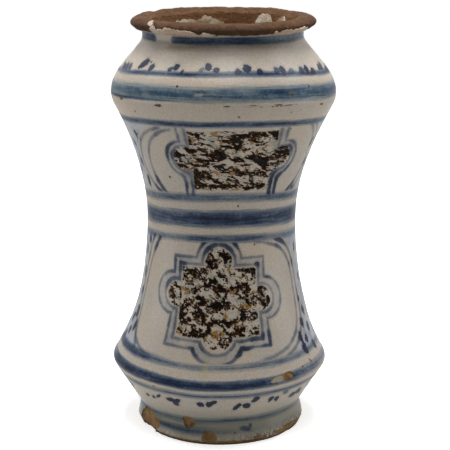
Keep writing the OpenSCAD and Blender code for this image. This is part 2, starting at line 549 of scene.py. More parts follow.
def turned(turn, middle):
    """Degrees from one direction to another, the short way round."""
    return (turn - middle + 180) % 360 - 180


def column_turn(column, columns):
    """The turn in degrees of a sheet's column; the last one falls on the first."""
    return (column % columns) / columns * 360 - 180


def chip_depth(turn, height, radius, chip):
    """How far inside a chip a place is: 1 in the middle, 0 on its edge."""
    middle, z, half_w, half_h, _ = chip
    across = turned(turn, middle) * math.pi / 180 * radius
    return 1.0 - math.hypot(across / half_w, (height - z) / half_h)


def wear_clay(mesh):
    for point in mesh.vertices:
        place = point.co.copy()
        x, y, z = place / MM
        radius, turn = math.hypot(x, y), math.degrees(math.atan2(x, -y))
        outwards = Vector((x, y, 0)).normalized() if radius > 1 else Vector((0, 0, 0))
        on_lip = min(max((z - LIP_WORN_FROM) / LIP_WORN_WITHIN, 0.0), 1.0)
        if on_lip > 0:
            waves = 0.6 * rough(place, 26, 1.3) + 0.5 * rough(place, 9, 4.1) + 0.4 * rough(place, 3.5, 7.7)
            nick = max(0.0, rough(place, 14, 9.2) - 0.28) * 2.2
            away = Vector((radius - LIP_MIDDLE[0], z - LIP_MIDDLE[1]))
            away = away.normalized() if away.length > 0.1 else Vector((1, 0))
            shift = on_lip * (waves - nick)
            point.co += (outwards * away.x + Vector((0, 0, away.y))) * shift * MM
        if z < CHIPPED_BELOW and radius > CHIPPED_OUTSIDE:
            for chip in FOOT_CHIPS:
                ragged = 0.3 * rough(place, 5, chip[0]) + 0.18 * rough(place, 2, chip[1])
                depth = chip_depth(turn, z, radius, chip) + ragged
                if depth > 0:
                    point.co -= outwards * chip[4] * min(1.0, 2.2 * depth) * MM
            if z < RIM_RUBBED_BELOW:
                point.co -= outwards * 0.35 * abs(rough(place, 4, 5.5)) * MM
    mesh.update()


wear_clay(clay_mesh)
clay_jar = add_piece("clay_jar", clay_mesh)
print("clay lip top at", round(max(v.co.z for v in clay_mesh.vertices) / MM, 2), "mm")

# %% [markdown]
# ## Cutting a coat of glaze
#
# A glaze is a skin about half a millimetre thick with broken edges. To cut one, the wheel turns an open sheet, and a
# number is worked out at every point of it: above nought there is glaze, below it the glaze is gone. Each face is then
# clipped where that number passes nought, as a contour line on a map, and the sheet gets an underside and an edge. That
# follows a ragged outline far more closely than deleting whole faces would.

# %% Read a sheet
def sheet_points(mesh, rows, columns):
    """The sheet's points as an array [column, row, xyz]."""
    flat = np.empty(len(mesh.vertices) * 3)
    mesh.vertices.foreach_get("co", flat)
    return flat.reshape(columns + 1, rows, 3)


def sheet_normals(points):
    """Outward directions of a sheet that closes on itself round the axis."""
    ring = points[:-1]
    across = np.roll(ring, -1, axis=0) - np.roll(ring, 1, axis=0)
    up = np.gradient(ring, axis=1)
    normal = np.cross(across, up)
    length = np.linalg.norm(normal, axis=2, keepdims=True)
    normal = np.where(length > 1e-12, normal / np.maximum(length, 1e-12), np.array([0.0, 0.0, 1.0]))
    return np.concatenate([normal, normal[:1]])


# %% Clip its faces along the contour
CUT_LEAST, CUT_MOST = 0.06, 0.94


def clipped(corners, amounts):
    """The part of a face where the amount is above nought: its corners (a, a) and the edges (a, b) that are crossed."""
    kept = []
    count = len(corners)
    for i in range(count):
        a, b = corners[i], corners[(i + 1) % count]
        fa, fb = amounts[i], amounts[(i + 1) % count]
        if fa > 0:
            kept.append((a, a))
        if (fa > 0) != (fb > 0):
            kept.append((min(a, b), max(a, b)))
    return kept


def clip_sheet(points, below, outline, field):
    """The faces that are left, and where their corners are on the sheet, on its underside and on the wrap map."""
    columns, rows = points.shape[0] - 1, points.shape[1]
    amounts = field.reshape(-1)
    tops, unders, maps, numbers, faces = [], [], [], {}, []

    def number(step):
        if step not in numbers:
            a, b = step
            fa, fb = amounts[a], amounts[b]
            share = 0.0 if a == b else min(max(fa / (fa - fb), CUT_LEAST), CUT_MOST)
            ca, ra, cb, rb = a // rows, a % rows, b // rows, b % rows
            tops.append(points[ca, ra] * (1 - share) + points[cb, rb] * share)
            unders.append(below[ca, ra] * (1 - share) + below[cb, rb] * share)
            turn = (ca * (1 - share) + cb * share) / columns
            height = (outline[ra][1] * (1 - share) + outline[rb][1] * share) * MM / MAP_H
            maps.append((turn, height))
            numbers[step] = len(tops) - 1
        return numbers[step]

    for c in range(columns):
        for r in range(rows - 1):
            a, b = c * rows + r, (c + 1) * rows + r
            quad = (a, b, b + 1, a + 1)
            around = [amounts[i] for i in quad]
            if max(around) <= 0:
                continue
            pieces = [quad] if min(around) > 0 else [quad[:3], (quad[0], quad[2], quad[3])]
            for piece in pieces:
                steps = clipped(piece, [amounts[i] for i in piece])
                if len(steps) >= 3:
                    faces.append([number(step) for step in steps])
    return tops, unders, maps, faces


# %% Close the cut sheet into a skin
SAME_POINT, NO_LENGTH = 2e-6, 1e-7
ON_SEAM = 1e-9
SHARP_EDGE = 50


def broken_edges(faces, maps):
    """The edges with a face on one side only, apart from the seam where the sheet meets itself."""
    borders = {}
    for face in faces:
        for i, start in enumerate(face):
            end = face[(i + 1) % len(face)]
            if (end, start) in borders:
                del borders[(end, start)]
            else:
                borders[(start, end)] = True
    return [edge for edge in borders if not all(abs(maps[i][0] - round(maps[i][0])) < ON_SEAM for i in edge)]


def mend(mesh):
    """Joins doubled points, drops loose edges and keeps broken ones sharp; counts triangles and open edges."""
    body = bmesh.new()
    body.from_mesh(mesh)
    bmesh.ops.remove_doubles(body, verts=body.verts, dist=SAME_POINT)
    bmesh.ops.dissolve_degenerate(body, edges=body.edges, dist=NO_LENGTH)
    bmesh.ops.delete(body, geom=[edge for edge in body.edges if not edge.link_faces], context="EDGES")
    for face in body.faces:
        face.smooth = True
    for edge in body.edges:
        if len(edge.link_faces) == 2 and edge.calc_face_angle(0) > math.radians(SHARP_EDGE):
            edge.smooth = False
    body.to_mesh(mesh)
    open_count = sum(1 for edge in body.edges if len(edge.link_faces) != 2)
    triangles = sum(len(face.verts) - 2 for face in body.faces)
    body.free()
    return triangles, open_count


def cut_shell(name, points, outline, field, thickness, finish):
    """A closed skin: the sheet where the field is above nought, its underside and its broken edge."""
    below = points - sheet_normals(points) * thickness[:, :, None]
    tops, unders, maps, faces = clip_sheet(points, below, outline, field)
    count = len(tops)
    polygons = list(faces)
    polygons += [[i + count for i in reversed(face)] for face in faces]
    polygons += [[end, start, start + count, end + count] for start, end in broken_edges(faces, maps)]
    mesh = bpy.data.meshes.new(name)
    mesh.from_pydata(tops + unders, [], polygons)
    chart = mesh.uv_layers.new(name="wrap")
    for corner in mesh.loops:
        chart.data[corner.index].uv = maps[corner.vertex_index % count]
    triangles, open_count = mend(mesh)
    mesh.materials.append(finish)
    print(name, "has", triangles, "triangles and", open_count, "open edges")
    return mesh


# %% [markdown]
# ## The white coat outside
#
# The tin glaze covers the wall from the bare edge of the foot to just under the lip. Its top edge is ragged, because
# the lip was wiped or has worn, and its bottom edge follows the turned foot. Chips leave holes with sharp corners. The
# field is the least of the distances, in millimetres, to all those edges, roughened with noise.

# %% Glaze the outside
GLAZE_COLUMNS = 380
GLAZE_SKIN = 0.62
GLAZE_TOP = 261.0
BARE_FOOT = 2.9
FAR_INSIDE = 9.0
WHOLE_BANDS = ((22, 40), (53, 250))
TOP_BAND_FROM = 240
painted_glaze = new_material("painted_tin_white")
# Closer points where the two rows of dabs lie.
close_line = with_midpoints(with_midpoints(wall_line, 26.5, 35.5), 233.5, 243.0)
glaze_outline = joined(close_line, lip_arc(-80, -40, 8, 0.45) + np.array([0.15, 0.0]))
glaze_sheet = sheet_points(
    turn_outline("glaze_sheet", glaze_outline, GLAZE_COLUMNS, painted_glaze), len(glaze_outline), GLAZE_COLUMNS
)


def top_edge_of_glaze(place):
    """Height where the outer glaze breaks off under the lip."""
    waves = 0.9 * rough(place, 12, 2.2) + 0.7 * rough(place, 5, 3.3) + 0.5 * rough(place, 2.2, 4.4)
    return GLAZE_TOP + waves


def glaze_field(points, outline):
    field = np.empty(points.shape[:2])
    for c in range(points.shape[0]):
        turn = column_turn(c, GLAZE_COLUMNS)
        for r, (radius, z) in enumerate(outline):
            if any(low < z < high for low, high in WHOLE_BANDS):
                field[c, r] = FAR_INSIDE
                continue
            place = points[c % GLAZE_COLUMNS, r]
            level = Vector((place[0], place[1], 0))
            if z > TOP_BAND_FROM:
                field[c, r] = top_edge_of_glaze(level) - z
                continue
            bare = BARE_FOOT + 1.1 * rough(level, 9, 6.6) + 0.6 * rough(level, 3, 8.8)
            amount = z - bare
            for chip in FOOT_CHIPS:
                ragged = 0.26 * rough(place, 6, chip[0]) + 0.16 * rough(place, 2.4, chip[1])
                inside = chip_depth(turn, z, radius, chip) + ragged
                amount = min(amount, -inside * min(chip[2], chip[3]))
            field[c, r] = amount
    return field


glaze_mesh = cut_shell(
    "painted_glaze", glaze_sheet, glaze_outline, glaze_field(glaze_sheet, glaze_outline),
    np.full(glaze_sheet.shape[:2], GLAZE_SKIN * MM), painted_glaze
)
painted_coat = add_piece("painted_glaze", glaze_mesh)

# %% [markdown]
# ## The lining
#
# The inside is glazed too, so that the jar holds what is put in it. The lining climbs the neck and ends on the inner
# side of the lip in peaks and tongues, of which a few tall ones show over the front of the lip. It is cut in the same
# way, from a sheet that runs down from the lip to the middle of the floor.

# %% Glaze the inside
LINING_COLUMNS = 300
lining_glaze = new_material("stained_lining_white")
lip_inside = lip_arc(105, 180, 18)
lining_under = joined(lip_inside, inside_wall[::-1])
step = np.gradient(lining_under, axis=0)
step /= np.linalg.norm(step, axis=1, keepdims=True)
lining_outline = lining_under + np.stack([step[:, 1], -step[:, 0]], axis=1) * LINING_T
lining_outline[-1] = (0.0, FLOOR_Z + LINING_T)
lining_sheet = sheet_points(
    turn_outline("lining_sheet", lining_outline, LINING_COLUMNS, lining_glaze), len(lining_outline), LINING_COLUMNS
)
LINING_PEAKS = (
    # turn, half width in degrees, rise in millimetres
    (141.0, 9.5, 8.4),
    (120.0, 8.5, 7.2),
    (-150.0, 20.0, 4.6),
    (-172.0, 11.0, 4.0),
    (60.0, 14.0, 4.0),
    (-70.0, 20.0, 3.0),
)
LINING_TOP = 258.0
CLOT_FROM, CLOT_WITHIN, CLOT_T = 252, 6, 0.9
RAGGED_FROM = 245


def lining_lumps(points, outline):
    """How much thicker than usual the lining is, in metres: it clotted near the lip."""
    lumps = np.zeros(points.shape[:2])
    for c in range(points.shape[0]):
        for r, (_, z) in enumerate(outline):
            if z > CLOT_FROM:
                place = points[c % LINING_COLUMNS, r]
                clot = max(0.0, 0.5 + rough(place, 5, 8.3) + 0.6 * rough(place, 2.2, 2.9))
                lumps[c, r] = CLOT_T * MM * clot * min(1.0, (z - CLOT_FROM) / CLOT_WITHIN)
    return lumps


def lining_field(points, outline):
    field = np.full(points.shape[:2], FAR_INSIDE)
    for c in range(points.shape[0]):
        turn = column_turn(c, LINING_COLUMNS)
        for r, (_, z) in enumerate(outline):
            if z < RAGGED_FROM:
                continue
            place = Vector(points[c % LINING_COLUMNS, r])
            level = Vector((place.x, place.y, 0))
            edge = LINING_TOP + 1.6 * rough(level, 10, 1.1) + 0.6 * rough(level, 4, 3.1) + 0.7 * rough(level, 1.8, 6.4)
            for middle, half, rise in LINING_PEAKS:
                off = abs(turned(turn, middle)) / half
                edge += rise * max(0.0, 1 - off * off) ** 0.5 * (0.9 + 0.3 * rough(level, 5, middle))
            edge += 1.0 * rough(place, 2.5, 5.0)
            field[c, r] = edge - z
    return field


field = lining_field(lining_sheet, lining_outline)
lumps = lining_lumps(lining_sheet, lining_outline)
lining_sheet = lining_sheet + sheet_normals(lining_sheet) * lumps[:, :, None]
lining_mesh = cut_shell("lining_glaze", lining_sheet, lining_outline, field, lumps + LINING_T * MM, lining_glaze)
lining_coat = add_piece("lining_glaze", lining_mesh)

# %% [markdown]
# ## Flakes left on the lip
#
# A few flakes of the outer glaze still hold on the lip: white splinters and a longer cream strip at the front left, and
# low patches under its edge at the middle and the right. They are cut from a sheet that follows the outside of the lip.

# %% Leave the flakes on the lip
FLAKE_COLUMNS = 720
FLAKE_T = 1.1
FLAKE_STANDS_OUT = 0.7
FLAKES_WITHIN = 70
flaked_glaze = new_material("flake_cream")
flake_outline = lip_arc(-72, 96, 34, FLAKE_STANDS_OUT)
flake_sheet = sheet_points(
    turn_outline("flake_sheet", flake_outline, FLAKE_COLUMNS, flaked_glaze), len(flake_outline), FLAKE_COLUMNS
)
LIP_FLAKES = (
    # turn, half width in millimetres, lowest and highest height
    (-46.3, 2.0, 260.0, 267.4),
    (-48.8, 2.4, 266.0, 268.6),
    (-45.0, 2.4, 259.8, 262.4),
    (-32.5, 7.5, 260.0, 266.0),
    (-21.5, 7.0, 260.0, 264.6),
    (-8.0, 5.0, 260.0, 262.8),
    (44.0, 9.0, 260.0, 263.8),
    (58.0, 6.0, 260.0, 263.8),
)


def flake_field(points, outline):
    field = np.full(points.shape[:2], -FAR_INSIDE)
    for c in range(points.shape[0]):
        turn = column_turn(c, FLAKE_COLUMNS)
        if not -FLAKES_WITHIN < turn < FLAKES_WITHIN:
            continue
        for r, (radius, z) in enumerate(outline):
            place = Vector(points[c, r])
            ragged = 1.7 * rough(place, 5, 2.7) + 1.3 * rough(place, 2.2, 6.1) + 0.6 * rough(place, 1.1, 3.9)
            for middle, half, low, high in LIP_FLAKES:
                across = (turn - middle) * math.pi / 180 * radius
                half_h = (high - low) / 2
                inside = 1 - math.hypot(across / half, (z - (low + high) / 2) / half_h)
                field[c, r] = max(field[c, r], inside * min(half, half_h) + ragged * 0.8)
    return field


flake_mesh = cut_shell(
    "lip_flakes_glaze", flake_sheet, flake_outline, flake_field(flake_sheet, flake_outline),
    np.full(flake_sheet.shape[:2], FLAKE_T * MM), flaked_glaze
)
lip_flakes = add_piece("lip_flakes_glaze", flake_mesh)

# %% [markdown]
# ## Paint as node groups
#
# The paint is drawn by shader nodes, from the turn and the height of each point. Each drawing tool, such as a ring
# drawn with a brush, becomes a node group that is built once and used many times.

# %% Helpers for groups, noise and colours
ROW_STRIDE = 61.0


def start_group(name, inputs, *outputs):
    """A new group of plain numbers: its tree, its inputs as values, and a function that sets an output."""
    tree = bpy.data.node_groups.new(name, "ShaderNodeTree")
    for label, value in inputs.items():
        tree.interface.new_socket(label, in_out="INPUT", socket_type="NodeSocketFloat").default_value = value
    for label in outputs:
        tree.interface.new_socket(label, in_out="OUTPUT", socket_type="NodeSocketFloat")
    given = add_node(tree, "NodeGroupInput")
    result = add_node(tree, "NodeGroupOutput")
    values = {label: Value(tree, given.outputs[label]) for label in inputs}
    return tree, values, lambda label, value: plug(tree, value, result.inputs[label])


def use_group(tree, group, **inputs):
    """Places a group in a tree. A gap in a socket's name is written as an underscore."""
    sockets = {label.replace("_", " "): value for label, value in inputs.items()}
    node = add_node(tree, "ShaderNodeGroup", sockets, node_tree=group)
    results = [Value(tree, socket) for socket in node.outputs]
    return results[0] if len(results) == 1 else results


def noise_at(tree, vector, scale, detail=2.0, roughness=0.5, distortion=0.0):
    node = add_node(tree, "ShaderNodeTexNoise", {
        "Vector": vector, "Scale": scale, "Detail": detail, "Roughness": roughness, "Distortion": distortion
    })
    return Value(tree, node.outputs[0])


def lots_for(tree, column, row):
    """Three random numbers for the cell in a column and a row."""
    cell = column + row * ROW_STRIDE
    node = add_node(tree, "ShaderNodeTexWhiteNoise", {"W": cell}, noise_dimensions="1D")
    tint = add_node(tree, "ShaderNodeSeparateColor", {0: node.outputs["Color"]})
    return [Value(tree, socket) for socket in tint.outputs]


def stretched(tree, vector, by):
    return add_node(tree, "ShaderNodeMapping", {"Vector": vector, "Scale": by}).outputs[0]


def mixed(tree, amount, first, second, blend="MIX"):
    node = add_node(tree, "ShaderNodeMix", {"Factor": amount}, data_type="RGBA", blend_type=blend)
    for value, name in ((first, "A"), (second, "B")):
        plug(tree, value, next(s for s in node.inputs if s.name == name and s.type == "RGBA"))
    return next(s for s in node.outputs if s.type == "RGBA")


def srgb(red, green, blue):
    """A colour as seen on a screen, 0 to 255, as the linear colour that a shader wants."""
    def linear(level):
        level /= 255
        return level / 12.92 if level <= 0.04045 else ((level + 0.055) / 1.055) ** 2.4
    return (linear(red), linear(green), linear(blue), 1.0)


# %% [markdown]
# ## The drawing tools
#
# The painter had two: a broad brush held against the turning jar for the rings, and a small one for lines and dabs.
# Both leave more pigment where the brush was just loaded, streaks along the stroke, and a soft grey edge where the
# glaze drank the wet paint. The groups below put out an amount of pigment, from 0 to a little over 1.

# %% Hairs of the brush
def build_streaks():
    """Noise drawn out along the ring, as the hairs of a brush leave it, and cloudy noise for pooling."""
    tree, _, put = start_group("brush_hairs", {}, "Hairs", "Pooling", "Wander", "Load", "Fleck")
    place = object_place(tree)
    put("Hairs", noise_at(tree, stretched(tree, place, (42.0, 42.0, 900.0)), 1.0, 4.0, 0.62))
    put("Pooling", noise_at(tree, place, 105.0, 4.0, 0.58))
    put("Wander", noise_at(tree, stretched(tree, place, (18.0, 18.0, 4.0)), 1.0, 2.0, 0.5))
    put("Load", noise_at(tree, place, 48.0, 2.0, 0.5))
    put("Fleck", noise_at(tree, place, 560.0, 3.0, 0.6))
    return tree


# %% A ring round the jar
def build_ring():
    tree, v, put = start_group(
        "brushed_ring",
        {"Turn": 0.0, "Height": 0.0, "Hairs": 0.5, "Pooling": 0.5, "Wander": 0.5, "Fleck": 0.5, "Level": 100.0,
         "Front rise": 0.0, "Half width": 3.0, "Soft edge": 1.5, "Pigment": 0.8, "Core": 0.5, "Loaded at": 0.0,
         "Load length": 200.0, "Fade": 0.3},
        "Amount",
    )
    facing = (v["Turn"] * (math.pi / 180)).do("COSINE")
    level = v["Level"] + facing * facing * v["Front rise"] + (v["Wander"] - 0.5) * 2.4
    off = abs(v["Height"] - level)
    ragged = (v["Hairs"] - 0.5) * v["Soft edge"] + (v["Fleck"] - 0.5) * 0.5
    body = (off + ragged * 2.6).rise(v["Half width"] - 0.4, v["Half width"] + 0.4, 1.0, 0.0)
    wash_end = v["Half width"] + v["Soft edge"]
    wash = (off + ragged * 2.0).rise(v["Half width"], wash_end + 0.4, 1.0, 0.0)
    core = (off / v["Half width"]).rise(0.0, 1.0, 1.0, 0.0)
    since_load = (v["Turn"] - v["Loaded at"]).do("FLOORED_MODULO", 360.0)
    emptied = since_load.rise(v["Load length"] * 0.5, v["Load length"])
    faded = emptied * since_load.rise(344.0, 360.0, 1.0, 0.0) * v["Fade"]
    full = core * v["Core"] + (v["Core"] * -1.0 + 1.0)
    streaky = v["Hairs"].rise(0.3, 0.7, 0.6, 1.25) * v["Pooling"].rise(0.25, 0.75, 0.7, 1.2)
    mottled = streaky * v["Fleck"].rise(0.3, 0.7, 0.84, 1.14)
    amount = (body * full * mottled).most(wash * 0.34)
    put("Amount", amount * (faded * -1.0 + 1.0) * v["Pigment"])
    return tree


# %% A thin line
def build_line():
    """A thin stroke at a given distance from its middle: pale and narrow, broad and dark where the brush is full."""
    tree, v, put = start_group(
        "brushed_line",
        {"Off": 0.0, "Pooling": 0.5, "Hairs": 0.5, "Fleck": 0.5, "Full": 0.5, "Half width": 0.7, "Pigment": 0.6},
        "Amount",
    )
    width = v["Half width"] * v["Full"].rise(0.0, 1.0, 0.9, 1.5) * v["Pooling"].rise(0.3, 0.7, 0.8, 1.2)
    off = abs(v["Off"]) + (v["Hairs"] - 0.5) * 0.6 + (v["Fleck"] - 0.5) * 1.0
    stroke = off.rise(width * 0.55, width * 1.35, 1.0, 0.0)
    dense = v["Full"].rise(0.0, 1.0, 0.36, 1.15) * v["Pooling"].rise(0.25, 0.75, 0.7, 1.25)
    wash = abs(v["Off"]).rise(width, width * 2.4, 0.07, 0.0)
    put("Amount", (stroke * dense * v["Pigment"]).most(wash))
    return tree


# %% A press of the brush and a dab
def build_press():
    """The paint of one press of the brush; Off is 0 in its middle and 1 on its edge."""
    tree, v, put = start_group(
        "brushed_press", {"Off": 0.0, "Pooling": 0.5, "Fleck": 0.5, "Pigment": 0.9}, "Amount"
    )
    off = v["Off"] + (v["Pooling"] - 0.5) * 0.7 + (v["Fleck"] - 0.5) * 0.9
    press = off.rise(0.82, 1.06, 1.0, 0.0) * v["Fleck"].rise(0.3, 0.7, 0.8, 1.15)
    wash = off.rise(1.0, 1.7, 0.07, 0.0)
    put("Amount", (press * v["Pigment"]).most(wash))
    return tree


def build_dab():
    """One press of the small brush: a ragged drop, thinner towards its tail."""
    tree, v, put = start_group(
        "brushed_dab",
        {"Across": 0.0, "Up": 0.0, "Slant": 0.0, "Half length": 2.2, "Half width": 1.3, "Pooling": 0.5, "Fleck": 0.5,
         "Pigment": 0.9},
        "Amount",
    )
    cosine, sine = v["Slant"].do("COSINE"), v["Slant"].do("SINE")
    length = (v["Across"] * cosine + v["Up"] * sine) / v["Half length"]
    taper = length.most(-1.0).least(1.0) * 0.34 + 1.0
    width = (v["Up"] * cosine - v["Across"] * sine) / (v["Half width"] * taper)
    put("Amount", use_group(
        tree, brushed_press, Off=length.reach(width), Pooling=v["Pooling"], Fleck=v["Fleck"], Pigment=v["Pigment"]
    ))
    return tree


brush_hairs, brushed_ring, brushed_line = build_streaks(), build_ring(), build_line()
brushed_press = build_press()
brushed_dab = build_dab()  # it uses the press
print("brushes:", [group.name for group in (brush_hairs, brushed_ring, brushed_line, brushed_press, brushed_dab)])

# %% [markdown]
# ## Rows of dabs
#
# Small leaves of three dabs stand on the ring under the neck and hang on the slope above the foot. On the front each
# dab has a place of its own, kept on the mesh further down. At the far sides and the back two plain rows carry on,
# eighteen groups to the round: the turn is folded into one cell of twenty degrees, so one set of dabs draws them all,
# and the number of the cell moves each group a little.

# %% Group the dabs
DAB_GROUPS = 18
DAB_STEP = 360.0 / DAB_GROUPS


def build_dab_row(name, dabs, mm_per_degree):
    """A row of dab groups; each dab is (across, up, slant in degrees, half length, half width, pigment)."""
    tree, v, put = start_group(
        name, {"Turn": 0.0, "Height": 0.0, "Pooling": 0.5, "Fleck": 0.5, "First": 0.0, "Level": 0.0},
        "Amount"
    )
    shifted = v["Turn"] - v["First"] + DAB_STEP / 2
    cell = (shifted / DAB_STEP).do("FLOOR").do("FLOORED_MODULO", float(DAB_GROUPS))
    folded = shifted.do("FLOORED_MODULO", DAB_STEP) - DAB_STEP / 2
    lots = lots_for(tree, cell, 3.7)
    across = folded * mm_per_degree + (lots[0] - 0.5) * 2.2
    up = v["Height"] - v["Level"] + (lots[1] - 0.5) * 1.2
    total = None
    for i, (x, z, slant, half_l, half_w, pigment) in enumerate(dabs):
        lot = lots[i % len(lots)]
        amount = use_group(
            tree, brushed_dab, Across=across - x, Up=up - z, Slant=(lot - 0.5) * 0.9 + math.radians(slant),
            Half_length=lot.rise(0, 1, half_l * 0.8, half_l * 1.1), Half_width=half_w, Pooling=v["Pooling"],
            Fleck=v["Fleck"], Pigment=lot.rise(0.0, 0.7, pigment * 0.45, pigment)
        )
        total = amount if total is None else total.most(amount)
    put("Amount", total)
    return tree


shoulder_leaves = build_dab_row(
    "shoulder_leaves",
    ((-5.0, -0.2, 45, 2.5, 1.75, 1.0), (0.2, 1.5, 70, 2.7, 2.1, 1.35), (5.0, -0.3, 120, 2.3, 1.7, 1.1)), 1.12
)
slope_leaves = build_dab_row(
    "slope_leaves",
    ((-4.6, -1.2, 24, 3.2, 1.9, 1.35), (1.4, -0.2, 32, 3.7, 2.3, 1.45), (6.6, 2.5, 38, 2.5, 1.7, 1.25)), 1.08
)
print("dab rows:", DAB_GROUPS, "groups each")

# %% [markdown]
# ## The two panels
#
# On the front are two framed panels. The upper one is an upright field with a round lobe on each side; the lower one is
# a barbed quatrefoil, a square with a round lobe in the middle of each side. Each is drawn as a distance: how far a
# place is from the panel's edge, below nought inside. Two thin lines at two distances make the double frame, and the
# inside is filled with short dark touches.

# %% Distances to the panels' edges
MM_PER_DEGREE = 0.96


def box_distance(x, z, half_w, half_h):
    over_x, over_z = abs(x) - half_w, abs(z) - half_h
    outside = over_x.most(0.0).reach(over_z.most(0.0))
    return outside + over_x.most(over_z).least(0.0)


def disc_distance(x, z, middle_x, middle_z, radius):
    return (x - middle_x).reach(z - middle_z) - radius


def build_upper_panel():
    tree, v, put = start_group(
        "lobed_panel", {"Across": 0.0, "Height": 0.0, "Inset": 0.0}, "Distance"
    )
    x, z, inset = abs(v["Across"]), v["Height"], v["Inset"]
    field = box_distance(v["Across"] + (z - 183.0).most(0.0) * 0.08, z - 183.0, inset * -1.0 + 30.6, 40.0)
    lobe = disc_distance(x, z, inset * -0.32 + 31.2, 185.4, inset * -0.55 + 10.6)
    sag = z.rise(178.0, 186.0, 9.0, 0.3)
    put("Distance", field.do("SMOOTH_MIN", lobe, sag))
    return tree


def build_lower_panel():
    tree, v, put = start_group(
        "barbed_quatrefoil", {"Across": 0.0, "Height": 0.0, "Inset": 0.0}, "Distance"
    )
    x, z, inset = abs(v["Across"]), v["Height"], v["Inset"]
    square = box_distance(v["Across"], z - 94.3, inset * -1.0 + 32.4, inset * -1.0 + 27.8)
    sides = disc_distance(x, z + v["Across"] * 0.04, inset * -0.62 + 32.4, 97.0, inset * -0.83 + 13.2)
    top = disc_distance(x, z, 0.0, 119.6, inset * -1.04 + 16.0)
    bottom = disc_distance(x, z, 0.0, inset * 0.25 + 72.4, inset * -1.06 + 15.4)
    put("Distance", square.least(sides).least(top.least(bottom)))
    return tree


lobed_panel, barbed_quatrefoil = build_upper_panel(), build_lower_panel()
print("panels:", lobed_panel.name, "and", barbed_quatrefoil.name)

# %% [markdown]
# ## Side frames and leaf sprays
#
# Beside each panel two bowed lines close the front off. Outside them the glaze has a thin blue wash, with small leaves
# dashed on it. The back isn't in the photograph, so the dashes simply carry on round it, which is how such jars are
# often finished. There a brick pattern places them, one to a cell.

# %% Sprays for the back
def build_sprays():
    """Short dark dashes, one in each cell of a brick pattern, for the back of the jar."""
    tree, v, put = start_group(
        "leaf_sprays", {"Turn": 0.0, "Height": 0.0, "Pooling": 0.5, "Fleck": 0.5}, "Amount"
    )
    column_step, row_step = 9.0, 10.5
    column = (v["Turn"] / column_step).do("FLOOR")
    lifted = v["Height"] + column.do("FLOORED_MODULO", 2.0) * (row_step / 2)
    row = (lifted / row_step).do("FLOOR")
    lots = lots_for(tree, column.do("FLOORED_MODULO", 40.0), row)
    across = (v["Turn"].do("FLOORED_MODULO", column_step) - column_step / 2) * MM_PER_DEGREE + (lots[0] - 0.5) * 3.0
    up = lifted.do("FLOORED_MODULO", row_step) - row_step / 2 + (lots[1] - 0.5) * 3.5
    dash = use_group(
        tree, brushed_dab, Across=across, Up=up, Slant=(lots[2] - 0.5) * 1.5 + 1.7, Half_length=lots[1] * 0.9 + 2.2,
        Half_width=lots[0] * 0.4 + 1.1, Pooling=v["Pooling"], Fleck=v["Fleck"],
        Pigment=lots[2].rise(0.05, 0.5, 0.25, 1.25)
    )
    put("Amount", dash)
    return tree


leaf_sprays = build_sprays()
print("sprays:", len(leaf_sprays.nodes), "nodes")

# %% [markdown]
# ## Dark touches in the panels
#
# The panels are filled with short strokes of manganese black and brown, with ochre and a little green between them and
# white glaze showing through. Two layers of stretched noise, cut off sharply, give touches of that size.

# %% Fill the panels with touches
def build_touches():
    tree, v, put = start_group(
        "dark_touches", {"Across": 0.0, "Height": 0.0, "Lean": 0.35, "Long": 0.10, "Narrow": 0.17, "Cover": 0.5},
        "Dark", "Core", "Ochre", "Green", "Pale",
    )
    cosine, sine = v["Lean"].do("COSINE"), v["Lean"].do("SINE")
    along_stroke = (v["Across"] * cosine + v["Height"] * sine) * v["Long"]
    over_stroke = (v["Height"] * cosine - v["Across"] * sine) * v["Narrow"]
    spot = vector_of(tree, along_stroke, over_stroke, 0.0)
    broad = noise_at(tree, spot, 1.0, 3.0, 0.6, 0.6)
    short = noise_at(tree, spot, 2.9, 3.0, 0.6, 1.1)
    touch = broad * 0.57 + short * 0.43 + v["Cover"]
    put("Dark", touch.rise(0.988, 1.022))
    put("Core", touch.rise(1.005, 1.08))
    far_spot = vector_of(tree, v["Across"] * 0.15 + 31.0, v["Height"] * 0.17 - 17.0, 4.0)
    put("Ochre", noise_at(tree, far_spot, 1.0, 3.0, 0.55, 0.4).rise(0.58, 0.615))
    other_spot = vector_of(tree, along_stroke - 53.0, over_stroke + 9.0, 9.0)
    put("Green", noise_at(tree, other_spot, 1.0, 3.0, 0.6, 0.4).rise(0.53, 0.6))
    put("Pale", short.rise(0.36, 0.46, 1.0, 0.0))
    return tree


dark_touches = build_touches()
print("touches:", len(dark_touches.nodes), "nodes")

# %% [markdown]
# ## Age
#
# Old tin glaze has pinholes with brown dirt in them, small pits where it crawled, a faint net of crazing and warm and
# grey patches. The group puts out masks; each glaze sets its own colours and depth.

